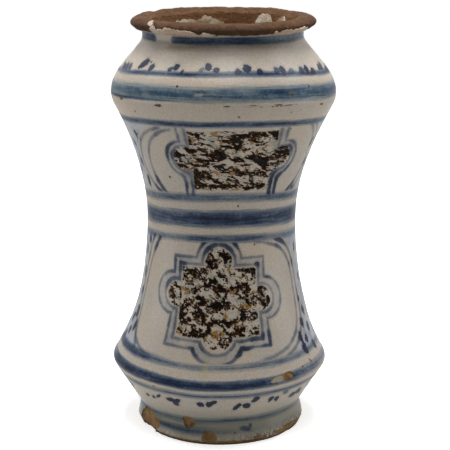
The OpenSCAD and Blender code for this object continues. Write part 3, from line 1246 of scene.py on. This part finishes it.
# %% Pinholes, crazing and patches
def build_age():
    tree, v, put = start_group(
        "glaze_age", {"Pinholes": 0.5}, "Pits", "Crazing", "Patches", "Grain", "Peel"
    )
    place = object_place(tree)
    cells = add_node(tree, "ShaderNodeTexVoronoi", {"Vector": place, "Scale": 190.0})
    tint = add_node(tree, "ShaderNodeSeparateColor", {0: cells.outputs["Color"]})
    chosen = Value(tree, tint.outputs[0]).rise(v["Pinholes"] * -0.12 + 0.98, v["Pinholes"] * -0.12 + 0.99)
    size = Value(tree, tint.outputs[1]).rise(0.0, 1.0, 0.07, 0.2)
    put("Pits", Value(tree, cells.outputs["Distance"]).rise(size * 0.6, size, 1.0, 0.0) * chosen)
    net = add_node(tree, "ShaderNodeTexVoronoi", {"Vector": place, "Scale": 110.0}, feature="DISTANCE_TO_EDGE")
    put("Crazing", Value(tree, net.outputs["Distance"]).rise(0.0, 0.035, 1.0, 0.0))
    put("Patches", noise_at(tree, place, 26.0, 3.0, 0.55))
    put("Grain", noise_at(tree, place, 900.0, 3.0, 0.7))
    put("Peel", noise_at(tree, place, 230.0, 2.0, 0.5))
    return tree


glaze_age = build_age()
print("age:", len(glaze_age.nodes), "nodes")

# %% [markdown]
# ## Marks kept on the mesh
#
# Some things are worked out once for every point of the glaze and kept there: how full the brush was, which makes the
# thin lines broad and dark in places, how far the point is from the nearest dab or dash on the front and how much paint
# that one holds, and how far it is from the two bowed lines. All change slowly from point to point, so the shader can
# read them between the points, and the nodes stay few.

# %% Where the marks are
BRUSH_FULL = (
    # turn, height, radius, share
    (-33.4, 190.0, 9.0, 0.5), (-47.0, 166.0, 8.0, 1.0), (43.0, 190.7, 5.0, 0.5), (37.0, 167.0, 12.0, 1.0),
    (-22.6, 166.8, 6.0, 0.6), (-55.5, 127.5, 8.5, 1.0), (-35.6, 117.0, 7.0, 0.7), (-37.5, 103.5, 7.0, 0.7),
    (-35.0, 82.0, 4.0, 0.3), (49.4, 130.1, 8.0, 1.0), (63.8, 112.8, 5.0, 0.8), (30.5, 70.5, 7.0, 1.0),
    (22.0, 71.5, 6.0, 0.7), (-8.8, 129.1, 8.0, 1.0), (6.0, 130.0, 10.0, 0.8), (-30.0, 116.0, 6.0, 0.9),
    (27.7, 117.9, 3.5, 0.9), (-14.0, 66.0, 6.0, 0.6), (13.0, 66.0, 7.0, 0.9), (36.0, 108.7, 4.0, 0.8),
    (57.5, 163.5, 7.0, 1.0),
)
SIDE_DASHES = (
    # turn, height, slant in degrees, half length, half width
    (-60.6, 198.2, 128, 3.2, 1.5), (-57.4, 195.4, 128, 2.8, 1.6), (-60.2, 195.0, 100, 1.8, 1.2),
    (-68.3, 189.6, 124, 4.0, 1.9), (-67.0, 178.6, 118, 4.2, 2.0), (-74.0, 172.0, 116, 3.0, 2.2),
    (-62.1, 166.0, 104, 4.0, 2.0), (-68.1, 127.0, 100, 3.6, 2.4), (-74.4, 119.0, 95, 3.4, 2.4),
    (-74.2, 104.2, 92, 3.6, 2.5), (-73.7, 91.8, 88, 3.4, 2.3), (-72.7, 77.7, 85, 4.4, 2.6),
    (-78.0, 72.3, 76, 3.4, 2.4), (-69.0, 69.2, 76, 3.8, 2.4), (-75.0, 64.5, 76, 2.8, 2.0),
    (-81.2, 59.8, 70, 3.2, 2.6), (72.2, 79.5, 110, 3.6, 2.4), (65.6, 72.9, 102, 3.6, 2.5),
    (58.7, 65.7, 108, 4.0, 2.5), (65.4, 62.8, 96, 3.0, 2.2), (74.2, 67.5, 100, 3.4, 2.3),
    (73.2, 56.5, 110, 3.2, 2.2), (59.8, 57.4, 118, 3.6, 2.4), (87.0, 62.0, 105, 3.0, 2.4),
    (68.6, 87.2, 98, 3.0, 1.6), (77.0, 101.0, 96, 3.0, 2.2), (73.4, 121.2, 84, 3.6, 2.2),
    (71.0, 178.0, 62, 3.0, 2.0), (68.0, 192.0, 60, 3.0, 1.9),
)
FRONT_DABS = (
    # turn, height, slant in degrees, half length, half width, pigment: the row on the shoulder
    (-73.0, 237.9, 157, 4.4, 1.5, 1.0), (-67.3, 238.2, 145, 3.6, 1.7, 0.8), (-62.9, 238.5, 136, 2.9, 1.5, 0.7),
    (-51.1, 240.9, 41, 3.8, 2.3, 1.3), (-43.1, 239.4, 65, 2.4, 1.9, 1.25), (-30.1, 239.3, 16, 1.8, 1.4, 0.7),
    (-26.7, 240.7, 85, 2.1, 1.8, 0.95), (-22.5, 238.2, 78, 1.5, 0.9, 0.6), (-11.8, 239.5, 131, 1.4, 1.4, 0.3),
    (-8.2, 241.3, 120, 2.4, 1.9, 1.0), (-3.8, 239.6, 128, 1.9, 1.7, 1.0), (7.6, 238.7, 54, 2.0, 1.8, 0.75),
    (12.5, 240.4, 72, 2.5, 2.2, 1.3), (19.6, 238.7, 66, 2.1, 1.7, 0.8), (29.6, 238.9, 78, 2.2, 1.8, 0.55),
    (33.4, 239.0, 83, 2.9, 1.9, 1.0), (38.5, 238.0, 24, 2.4, 1.7, 0.4), (46.7, 238.3, 32, 2.5, 1.9, 0.6),
    (51.2, 238.3, 65, 2.6, 1.7, 1.2), (56.0, 236.9, 23, 2.5, 1.8, 0.9), (66.4, 238.5, 29, 3.2, 1.5, 0.9),
    (70.1, 238.6, 36, 3.5, 1.8, 1.3), (78.8, 236.2, 9, 5.2, 2.0, 1.2),
    # the row above the foot, and a smudge on the foot
    (-46.3, 29.7, 35, 2.3, 1.3, 1.1), (-41.3, 29.8, 38, 2.0, 1.2, 1.0), (-36.4, 32.1, 40, 2.7, 0.9, 1.1),
    (-28.6, 31.6, 8, 2.6, 1.8, 1.3), (-24.8, 31.3, 31, 3.1, 1.4, 1.3), (-25.4, 28.5, 155, 2.2, 1.7, 1.0),
    (-10.1, 30.8, 139, 2.3, 2.1, 1.3), (-5.5, 31.2, 83, 2.8, 1.8, 1.3), (-2.9, 33.1, 33, 2.3, 1.5, 1.3),
    (10.3, 28.8, 60, 3.8, 1.7, 1.3), (16.2, 29.2, 120, 2.8, 2.2, 1.3), (20.6, 33.9, 47, 2.7, 2.2, 1.25),
    (30.8, 31.9, 79, 2.5, 1.8, 1.2), (35.3, 30.7, 105, 2.6, 1.7, 1.2), (40.3, 34.6, 144, 2.6, 1.6, 0.35),
    (48.5, 29.7, 168, 2.9, 2.0, 0.9), (54.0, 30.7, 136, 3.4, 2.2, 1.0), (15.4, 10.4, 160, 1.8, 1.1, 0.3),
    (18.2, 10.0, 165, 3.6, 1.7, 0.34), (21.4, 11.6, 90, 1.6, 1.2, 0.34),
)
DASH_INK = 1.2
DASH_TAPER = 0.2
FULL_MM_PER_DEGREE = 0.9
FAR_FROM_DABS, FAR_FROM_BOWS = 3.0, 20.0
UPPER_MIDDLE, LOWER_MIDDLE = 7.7, -1.4
BETWEEN_PANELS = 140
BOWS = {
    # panel's middle, side, middle of the bow across and up, half width, then half height and roundness above and below
    "bow_inner": (
        (UPPER_MIDDLE, -1, 28.8, 180.0, 29.2, 24.2, 2.0, 24.2, 2.0),
        (UPPER_MIDDLE, 1, 28.8, 182.0, 30.3, 28.5, 2.0, 23.5, 2.0),
        (LOWER_MIDDLE, -1, 0.0, 90.0, 63.2, 63.6, 2.0, 45.0, 3.0),
        (LOWER_MIDDLE, 1, 0.0, 95.0, 61.3, 37.5, 3.0, 37.5, 3.0),
    ),
    "bow_outer": (
        (UPPER_MIDDLE, -1, 28.8, 180.0, 38.4, 26.0, 2.0, 25.0, 2.0),
        (UPPER_MIDDLE, 1, 28.8, 182.0, 36.2, 29.5, 2.0, 26.0, 2.0),
        (LOWER_MIDDLE, -1, 0.0, 90.0, 67.7, 75.0, 2.0, 36.0, 3.0),
        (LOWER_MIDDLE, 1, 0.0, 95.0, 66.6, 41.0, 3.0, 41.0, 3.0),
    ),
}


# %% Keep the full places and the dabs
def soft_step(value, low, high):
    share = np.clip((value - low) / (high - low), 0.0, 1.0)
    return share * share * (3 - 2 * share)


def wrap_places(mesh):
    """The turn in degrees and the height in millimetres of every point, from the wrap map."""
    loops = len(mesh.loops)
    index, flat = np.empty(loops, dtype=int), np.empty(loops * 2)
    mesh.loops.foreach_get("vertex_index", index)
    mesh.uv_layers["wrap"].data.foreach_get("uv", flat)
    places = np.zeros((len(mesh.vertices), 2))
    places[index] = flat.reshape(-1, 2)
    return (places[:, 0] - 0.5) * 360, places[:, 1] * MAP_H / MM


def keep_on_mesh(mesh, name, values):
    mesh.attributes.new(name, "FLOAT", "POINT").data.foreach_set("value", values.astype(np.float32))


turns, heights = wrap_places(glaze_mesh)
brush_full = np.zeros(len(turns))
for at_turn, at_height, radius, share in BRUSH_FULL:
    off = np.hypot((turns - at_turn) * FULL_MM_PER_DEGREE, heights - at_height)
    brush_full = np.maximum(brush_full, share * (1 - soft_step(off, radius * 0.35, radius * 1.15)))
keep_on_mesh(glaze_mesh, "brush_full", brush_full)

front_marks = FRONT_DABS + tuple(dash + (DASH_INK,) for dash in SIDE_DASHES)
dash_off, dash_ink = np.full(len(turns), FAR_FROM_DABS), np.ones(len(turns))
for at_turn, at_height, slant, half_l, half_w, ink in front_marks:
    across, up = (turns - at_turn) * MM_PER_DEGREE, heights - at_height
    cosine, sine = math.cos(math.radians(slant)), math.sin(math.radians(slant))
    length = (across * cosine + up * sine) / half_l
    width = (up * cosine - across * sine) / (half_w * (1 + DASH_TAPER * np.clip(length, -1, 1)))
    off = np.hypot(length, width)
    dash_ink = np.where(off < dash_off, ink, dash_ink)
    dash_off = np.minimum(dash_off, off)
keep_on_mesh(glaze_mesh, "dash_off", dash_off)
keep_on_mesh(glaze_mesh, "dash_ink", dash_ink)
print("kept:", len(BRUSH_FULL), "full places and", len(front_marks), "dabs and dashes")

# %% Keep the bowed lines
def bow_off(x, z, middle_x, middle_z, half_w, high, round_high, low, round_low):
    """About how far, in millimetres, a place is outside a bowed line."""
    above = z > middle_z
    half_h, power = np.where(above, high, low), np.where(above, round_high, round_low)
    across, up = np.maximum(x - middle_x, 0) / half_w, np.abs(z - middle_z) / half_h
    size = np.maximum(across**power + up**power, 1e-3) ** (1 / power)
    slope = size ** (1 - power) * np.hypot(across ** (power - 1) / half_w, up ** (power - 1) / half_h)
    return np.clip((size - 1) / np.maximum(slope, 1e-3), -FAR_FROM_BOWS, FAR_FROM_BOWS)


for name, bows in BOWS.items():
    off = np.full(len(turns), FAR_FROM_BOWS)
    for middle, side, *shape in bows:
        across = side * (turns - middle) * MM_PER_DEGREE
        here = (across >= 0) & ((heights > BETWEEN_PANELS) == (middle == UPPER_MIDDLE))
        off[here] = bow_off(across[here], heights[here], *shape)
    keep_on_mesh(glaze_mesh, name, off)
print("kept:", list(BOWS))

# %% [markdown]
# ## The painted glaze
#
# Now the paint goes on: each ring, row and frame puts out an amount of pigment, and the amounts are added up. Cobalt in
# glaze works like coloured glass, so twice the pigment lets through the square of the light. A colour ramp holds that
# series from white to nearly black blue, and multiplies the white of the glaze. The thin lines were drawn with a greyer
# paint, so they have a sum and a ramp of their own.

# %% Where on the jar
tree = painted_glaze.node_tree
turn_share, height_share, _ = parts_of(tree, add_node(tree, "ShaderNodeUVMap", uv_map="wrap").outputs[0])
turn = (turn_share - 0.5) * 360.0
height = height_share * (MAP_H / MM)
hairs, pooling, wander, load, fleck = use_group(tree, brush_hairs)

# %% Paint the rings
RINGS = (
    # name, level, rise at the front, half width, soft edge, pigment, core, loaded at, load length, fade
    ("neck", 257.2, 0.4, 2.4, 0.8, 0.98, 0.2, -75, 160, 0.7),
    ("leaf_ring", 235.2, 2.1, 1.1, 0.7, 0.95, 0.3, -50, 250, 0.4),
    ("shoulder_band", 224.6, 1.4, 3.4, 2.1, 0.7, 0.25, 30, 300, 0.2),
    ("shoulder_edge", 220.6, 1.4, 0.6, 0.3, 1.2, 0.2, -100, 84, 1.0),
    ("upper_ring", 205.7, 2.2, 1.5, 0.8, 0.85, 0.3, -40, 100, 0.22),
    ("middle_high_ring", 156.5, 4.3, 2.2, 1.5, 0.52, 0.3, -35, 300, 0.15),
    ("waist_band", 143.8, 3.1, 4.2, 2.2, 1.18, 0.35, -15, 320, 0.22),
    ("middle_low_ring", 131.4, 3.0, 1.9, 1.3, 0.78, 0.3, -14, 60, 0.5),
    ("low_ring", 56.6, -0.7, 1.5, 1.2, 0.44, 0.25, 30, 300, 0.2),
    ("low_ring_start", 57.2, -0.7, 2.3, 0.8, 0.66, 0.25, -110, 88, 1.0),
    ("belly_band", 47.4, -1.7, 2.4, 0.8, 1.3, 0.45, -75, 150, 0.7),
    ("belly_core", 47.3, -1.7, 1.2, 0.5, 0.35, 0.3, -22, 60, 1.0),
    ("belly_thin_ring", 38.2, 0.0, 1.1, 1.8, 0.7, 0.3, -110, 300, 0.2),
    ("foot_ring", 14.8, 1.8, 1.6, 2.4, 0.52, 0.3, -70, 240, 0.2),
    ("foot_low_ring", 7.8, 0.8, 1.8, 1.8, 0.64, 0.3, -64, 76, 0.8),
)
FOOT_RING_TILT = 1.2
pigment = None
for name, level, rise, half, soft, strength, core, loaded, length, fade in RINGS:
    if name == "foot_ring":
        level = (turn * (math.pi / 180)).do("SINE") * FOOT_RING_TILT + level
    ring = use_group(
        tree, brushed_ring, Turn=turn, Height=height, Hairs=hairs, Pooling=pooling, Wander=wander, Fleck=fleck,
        Level=level, Front_rise=rise, Half_width=half, Soft_edge=soft, Pigment=strength, Core=core,
        Loaded_at=float(loaded), Load_length=float(length), Fade=fade
    )
    if name == "neck":
        skipped = (turn + (pooling - 0.5) * 9.0).near(-44.5, 6.0, 5.0)
        ring = ring * (skipped * -1.0 + 1.0)
    pigment = ring if pigment is None else pigment + ring
print("rings:", len(RINGS))

# %% Paint the rows of leaves
LEAF_ROWS = (
    # row, first group's turn, level, turn where the front's own dabs end
    (shoulder_leaves, -8.0, 239.2, 82.0), (slope_leaves, -6.5, 31.0, 60.0)
)
leaf_ink = None
for leaves, first, level, front in LEAF_ROWS:
    row = use_group(tree, leaves, Turn=turn, Height=height, Pooling=pooling, Fleck=fleck, First=first, Level=level)
    row = row * abs(turn).rise(front, front + 1.0)
    leaf_ink = row if leaf_ink is None else leaf_ink + row
print("rows of leaves:", len(LEAF_ROWS))

# %% Where the brush was full
def kept(name):
    """A number that was kept on the mesh."""
    return Value(tree, add_node(tree, "ShaderNodeAttribute", attribute_name=name).outputs["Fac"])


full = load.rise(0.46, 0.72, 0.0, 0.45).most(kept("brush_full"))

# %% Paint the panels' frames
upper_zone = height.near(183.2, 21.0, 1.5)
lower_zone = height.near(95.0, 36.0, 1.5)
upper_x = (turn - UPPER_MIDDLE) * MM_PER_DEGREE
lower_x = (turn - LOWER_MIDDLE) * MM_PER_DEGREE
FRAME_GAP = 4.6


def panel_edge(panel, x, inset):
    return use_group(tree, panel, Across=x, Height=height, Inset=inset) + (wander - 0.5) * 2.0


def frame_line(off, half, strength, zone):
    stroke = use_group(
        tree, brushed_line, Off=off, Pooling=pooling, Hairs=hairs, Fleck=fleck, Full=full, Half_width=half,
        Pigment=strength
    )
    return stroke * zone


line_paint = None
for panel, x, zone in ((lobed_panel, upper_x, upper_zone), (barbed_quatrefoil, lower_x, lower_zone)):
    outer, inner = panel_edge(panel, x, 0.0), panel_edge(panel, x, FRAME_GAP)
    strokes = frame_line(outer, 0.95, 0.8, zone) + frame_line(inner, 1.05, 0.75, zone)
    line_paint = strokes if line_paint is None else line_paint + strokes
    between = outer.rise(-0.6, 0.6, 1.0, 0.0) * inner.rise(-0.6, 0.6) * zone
    pigment = pigment + between * pooling.rise(0.3, 0.7, 0.02, 0.13)

# %% Paint the bowed side lines and the sprays outside them
upper_side, lower_side = abs(upper_x), abs(lower_x)
inner_bow, outer_bow = kept("bow_inner"), kept("bow_outer")
inner_shown = upper_zone * upper_side.rise(33.0, 37.0, 0.0, 0.85) + lower_zone * lower_side.rise(22.0, 30.0)
outer_shown = upper_zone * upper_side.rise(40.0, 44.0, 0.0, 0.85) + lower_zone * lower_side.rise(38.0, 44.0)
line_paint = line_paint + frame_line(inner_bow + (wander - 0.5) * 1.2, 1.05, 0.68, inner_shown)
line_paint = line_paint + frame_line(outer_bow + (wander - 0.5) * 1.2, 1.05, 0.75, outer_shown)
outside = outer_bow.rise(1.0, 4.0) * upper_zone.most(lower_zone)
pigment = pigment + outside * pooling.rise(0.42, 0.7, 0.0, 0.13)

# %% Dash on the leaves at the sides and the back
BACK_BEGINS = (84.0, 88.0)


def dab_at(at_turn, at_height, slant, half_l, half_w, strength):
    return use_group(
        tree, brushed_dab, Across=(turn - at_turn) * MM_PER_DEGREE, Up=height - at_height, Slant=math.radians(slant),
        Half_length=half_l, Half_width=half_w, Pooling=pooling, Fleck=fleck, Pigment=strength
    )


dashes = use_group(tree, brushed_press, Off=kept("dash_off"), Pooling=pooling, Fleck=fleck, Pigment=kept("dash_ink"))
back_dashes = use_group(tree, leaf_sprays, Turn=turn, Height=height, Pooling=pooling, Fleck=fleck)
leaf_ink = leaf_ink + dashes.most(back_dashes * outside * abs(turn).rise(*BACK_BEGINS))
pigment = pigment + leaf_ink

# %% Lay the colours over each other
PIT_BROWN, CRAZE_BROWN = srgb(70, 52, 36), srgb(96, 84, 70)
COOL_WHITE, WARM_WHITE, GRAIN_GREY = srgb(161, 155, 147), srgb(170, 158, 143), srgb(134, 124, 112)
SLOPE_GREY, FOOT_PAINTED_LIGHT, SIDE_BLUISH = srgb(129, 127, 113), srgb(164, 157, 140), srgb(150, 153, 157)
LEAF_INK = srgb(26, 27, 46)
COBALT_PASS = (0.026, 0.060, 0.17)
LINE_PASS = (0.034, 0.057, 0.130)
STEEL_BLUE = (0.32, 0.86, 0.92, 1.0)
MOST_PIGMENT = 1.3
RAMP_STEPS = 8
pits, crazing, patches, grain, peel = use_group(tree, glaze_age, Pinholes=0.5)

tin_white = mixed(tree, patches.rise(0.3, 0.7), COOL_WHITE, WARM_WHITE)
tin_white = mixed(tree, grain.rise(0.3, 0.75) * 0.58, tin_white, GRAIN_GREY)
tin_white = mixed(tree, height.rise(14.0, 30.0, 0.85, 0.0), tin_white, SLOPE_GREY)
# Painted light: the glaze low on the foot is made paler, standing in for light thrown up by the white floor.
tin_white = mixed(tree, height.rise(3.5, 12.0, 0.9, 0.0), tin_white, FOOT_PAINTED_LIGHT)
tin_white = mixed(tree, outside * 0.8, tin_white, SIDE_BLUISH)


def through_paint(passed, amount):
    """The share of light that comes back through an amount of paint, as a colour."""
    glass = add_node(tree, "ShaderNodeValToRGB", {0: amount})
    ramp = glass.color_ramp
    while len(ramp.elements) < RAMP_STEPS + 1:
        ramp.elements.new(0.5)
    for i, element in enumerate(ramp.elements):
        share = i / RAMP_STEPS
        element.position = share
        element.color = tuple(c ** (share * MOST_PIGMENT) for c in passed) + (1.0,)
    return glass.outputs[0]


depth_of_blue = pigment / MOST_PIGMENT
colour = mixed(tree, 1.0, tin_white, through_paint(COBALT_PASS, depth_of_blue), "MULTIPLY")
colour = mixed(tree, 1.0, colour, through_paint(LINE_PASS, line_paint / MOST_PIGMENT), "MULTIPLY")
steel_band = height.near(225.4, 5.0, 2.0) * depth_of_blue.least(0.45)
colour = mixed(tree, steel_band, colour, STEEL_BLUE, "MULTIPLY")
colour = mixed(tree, leaf_ink.clip() * 0.55, colour, LEAF_INK)

# %% Fill the panels
PALE_TOUCH, GREEN_TOUCH, OCHRE_TOUCH, BROWN_TOUCH = (
    srgb(176, 162, 144), srgb(112, 119, 108), srgb(118, 88, 40), srgb(60, 38, 20)
)
UPPER_FILL_INSET, LOWER_FILL_INSET = 5.6, 6.5
ragged = (grain - 0.5) * 3.0 + (pooling - 0.5) * 3.0
upper_fill = (panel_edge(lobed_panel, upper_x, UPPER_FILL_INSET) + ragged).rise(-0.4, 0.4, 1.0, 0.0)
upper_fill = upper_fill * (abs(height - 184.3) + ragged).rise(18.6, 19.4, 1.0, 0.0)
lower_fill = (panel_edge(barbed_quatrefoil, lower_x, LOWER_FILL_INSET) + ragged).rise(-0.4, 0.4, 1.0, 0.0)
inked = None
for fill, x, lean, long, narrow, cover, gold, warm_black, cold_black in (
    # where, across, lean of the strokes, their fineness along and over, cover, share of ochre, the two blacks
    (upper_fill, upper_x, -0.3, 0.09, 0.19, 0.517, 0.85, srgb(18, 14, 11), srgb(25, 28, 27)),
    (lower_fill, lower_x, -0.5, 0.125, 0.16, 0.516, 0.95, srgb(9, 7, 6), srgb(16, 20, 20)),
):
    dark, core, ochre, green, pale = use_group(
        tree, dark_touches, Across=x, Height=height, Lean=lean, Long=long, Narrow=narrow, Cover=cover
    )
    colour = mixed(tree, pale * fill * 0.4, colour, PALE_TOUCH)
    colour = mixed(tree, green * fill * 0.65, colour, GREEN_TOUCH)
    colour = mixed(tree, ochre * fill * gold, colour, OCHRE_TOUCH)
    black = mixed(tree, green, warm_black, cold_black)
    ink = mixed(tree, core, BROWN_TOUCH, black)
    touched = dark * fill
    colour = mixed(tree, touched, colour, ink)
    inked = touched if inked is None else inked.most(touched)
print("panels filled:", len(tree.nodes), "nodes so far")

# %% Stains, pits and worn places
STAIN_OLIVE, DIRT_BROWN = srgb(150, 146, 104), srgb(88, 66, 44)
CRAWL = (
    # turn, height, slant in degrees, half length, half width, strength
    (-60.9, 219.4, 20, 1.8, 0.9, 1.0), (-33.1, 218.4, 5, 2.2, 0.9, 1.0), (1.5, 219.5, 0, 1.6, 0.5, 0.9),
    (14.2, 219.9, 0, 2.0, 0.45, 0.8), (27.0, 219.7, 0, 2.2, 0.55, 0.9), (57.1, 217.2, -10, 1.8, 0.7, 1.0),
    (59.9, 50.4, 120, 1.6, 0.6, 1.0), (-36.2, 40.4, 0, 0.9, 0.6, 1.0), (11.9, 155.2, 90, 0.9, 0.7, 1.0),
    (10.0, 8.0, 0, 1.2, 0.5, 0.8),
)
crawl = None
for spot in CRAWL:
    mark = dab_at(*spot)
    crawl = mark if crawl is None else crawl.most(mark)
seam = abs(height - 219.5 + (wander - 0.5) * 3.0 + (hairs - 0.5) * 1.5).rise(0.1, 0.5, 1.0, 0.0)
crawl = crawl.most(seam * (load + fleck * 0.6).rise(0.76, 0.86) * turn.near(10.0, 24.0, 8.0))
stain = ((turn + 7.6) * 0.5 + (load - 0.5) * 1.6).reach((height - 55.0) * 0.13).rise(0.2, 1.4, 0.42, 0.0)
colour = mixed(tree, stain, colour, STAIN_OLIVE)
WORN = (
    # turn, height, slant in degrees, half length, half width, strength; then the colour under the wear
    ((31.5, 46.6, 6, 4.2, 1.6, 0.75), srgb(150, 136, 112)),
    ((-11.7, 225.8, 8, 2.4, 0.9, 0.5), srgb(150, 144, 134)),
    ((35.0, 226.2, 0, 2.8, 1.0, 0.4), srgb(110, 96, 78)),
)
for spot, under in WORN:
    colour = mixed(tree, dab_at(*spot), colour, under)
colour = mixed(tree, crawl.clip(), colour, PIT_BROWN)
colour = mixed(tree, pits, colour, PIT_BROWN)
colour = mixed(tree, crazing * 0.04, colour, CRAZE_BROWN)
low_dirt = height.rise(2.0, 10.0, 1.0, 0.0) * (fleck + patches * 0.6).rise(0.72, 0.95)
low_dirt = (low_dirt * turn.near(52.0, 18.0, 24.0).rise(0.0, 1.0, 0.5, 1.3)).clip()
colour = mixed(tree, low_dirt, colour, DIRT_BROWN)
print("wear:", len(CRAWL), "crawled spots and", len(WORN), "worn places")

# %% Finish the painted glaze
FIRED_IOR = 1.5
BUMP_STRENGTH = 0.6
COAT_ROUGHNESS = 0.3


def finish_surface(material, colour, roughness, height_value, depth, specular, coat=None):
    """Joins a finish to its material; depth, in metres, is how deep its height goes."""
    tree = material.node_tree
    shader = add_node(tree, "ShaderNodeBsdfPrincipled", {
        "Base Color": colour, "Roughness": roughness, "IOR": FIRED_IOR, "Specular IOR Level": specular
    })
    if coat is not None:
        plug(tree, coat, shader.inputs["Coat Weight"])
        plug(tree, COAT_ROUGHNESS, shader.inputs["Coat Roughness"])
    bump = add_node(tree, "ShaderNodeBump", {"Strength": BUMP_STRENGTH, "Distance": depth, "Height": height_value})
    plug(tree, bump.outputs[0], shader.inputs["Normal"])
    add_node(tree, "ShaderNodeOutputMaterial", {"Surface": shader.outputs[0]})


gloss = patches.rise(0.3, 0.7, 0.24, 0.38) + pits * 0.4
clear_coat = inked.rise(0.0, 1.0, 0.24, 0.0)
finish_surface(painted_glaze, colour, gloss, peel * 0.5 + grain * 0.1 - pits * 0.9, 0.0004, 0.02, clear_coat)
print("painted glaze:", len(tree.nodes), "nodes")

# %% [markdown]
# ## Bare clay, lining and flakes
#
# The clay is brown and matt, with grit in it, and darker where hands have rubbed the lip. Inside the mouth and low on
# the foot it is painted paler, as painted light; it is darker along the foot's bottom edge, and darker under the lip's
# edge as painted shade. The lining is the same tin glaze, thinner and stained, and the flakes are cream to pink because
# clay shows through.

# %% Finish the clay
LIP_DARK, LIP_LIGHT, LUMP_BROWN = srgb(64, 43, 27), srgb(80, 57, 38), srgb(54, 36, 23)
FOOT_DARK, FOOT_LIGHT = srgb(100, 76, 46), srgb(142, 114, 76)
CRUMB_BROWN, GRIT_BROWN, INSIDE_PAINTED_LIGHT = srgb(118, 88, 58), srgb(44, 28, 18), srgb(136, 98, 66)
CLAY_FOOT_PAINTED_LIGHT, FOOT_EDGE_DARK, LIP_SHADE = srgb(160, 130, 94), srgb(62, 47, 34), srgb(42, 28, 18)

tree = bare_clay.node_tree
place = object_place(tree)
cloud = noise_at(tree, place, 55.0, 4.0, 0.6)
grit = noise_at(tree, place, 700.0, 3.0, 0.7)
crumbs = noise_at(tree, place, 260.0, 3.0, 0.65)
east, north, up = parts_of(tree, place)
height = up / MM
lumps = noise_at(tree, place, 190.0, 4.0, 0.62)
lip_brown = mixed(tree, cloud.rise(0.3, 0.7), LIP_DARK, LIP_LIGHT)
lip_brown = mixed(tree, lumps.rise(0.5, 0.62) * 0.5, lip_brown, LUMP_BROWN)
foot_ochre = mixed(tree, lumps.rise(0.36, 0.62), FOOT_DARK, FOOT_LIGHT)
clay_colour = mixed(tree, height.rise(60.0, 200.0), foot_ochre, lip_brown)
clay_colour = mixed(tree, crumbs.rise(0.55, 0.75) * 0.35, clay_colour, CRUMB_BROWN)
clay_colour = mixed(tree, grit.rise(0.55, 0.8) * 0.7, clay_colour, GRIT_BROWN)
axis_off = east.reach(north) / MM
# Painted light: the clay inside the mouth is made paler, standing in for light that falls into it.
inside_painted_light = axis_off.rise(44.0, 48.0, 0.5, 0.0) * height.rise(200.0, 250.0)
clay_colour = mixed(tree, inside_painted_light, clay_colour, INSIDE_PAINTED_LIGHT)
# Painted light: the clay low on the foot is made paler, standing in for light thrown up by the white floor.
clay_colour = mixed(tree, height.rise(4.0, 12.0, 0.4, 0.0), clay_colour, CLAY_FOOT_PAINTED_LIGHT)
# The bare clay is made darker along the bottom edge of the foot.
clay_colour = mixed(tree, height.rise(0.4, 2.6, 0.75, 0.0), clay_colour, FOOT_EDGE_DARK)
under_lip = height.rise(262.0, 266.5, 0.4, 0.0) * height.rise(200.0, 250.0) * axis_off.rise(50.0, 54.0)
clay_colour = mixed(tree, under_lip, clay_colour, LIP_SHADE)
finish_surface(bare_clay, clay_colour, cloud.rise(0.2, 0.8, 0.8, 0.95), crumbs * 0.8 + grit * 0.6, 0.0028, 0.12)

# %% Finish the lining and the flakes
WORN_GREY = srgb(124, 108, 86)
# The lining's pale white is set brighter than the outer glaze's white, as painted light, because the inside of the neck
# lies in shade.
for material, pale, stained in (
    (lining_glaze, srgb(204, 194, 178), srgb(160, 138, 112)), (flaked_glaze, srgb(166, 156, 140), srgb(158, 128, 108))
):
    tree = material.node_tree
    pits, crazing, patches, grain, peel = use_group(tree, glaze_age, Pinholes=0.9)
    base = mixed(tree, patches.rise(0.35, 0.65), pale, stained)
    base = mixed(tree, grain.rise(0.42, 0.72) * 0.65, base, WORN_GREY)
    base = mixed(tree, pits, base, PIT_BROWN)
    base = mixed(tree, crazing * 0.15, base, CRAZE_BROWN)
    finish_surface(material, base, grain.rise(0.2, 0.8, 0.4, 0.7), peel + grain * 0.6 - pits, 0.0011, 0.3)
print("finishes:", [m.name for m in (bare_clay, painted_glaze, lining_glaze, flaked_glaze)])

# %% [markdown]
# ## Hand the pieces over
#
# Each piece stands for one solid of the CAD model, which then hides.

# %% Join the pieces to the frame
for piece, node, slot in (
    (clay_jar, "clay_body", "bare_clay"),
    (painted_coat, "outer_glaze", "painted_tin_glaze"),
    (lining_coat, "inner_glaze", "lining_glaze"),
    (lip_flakes, "lip_flakes", "flaked_glaze"),
):
    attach(piece, "root")
    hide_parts(node)
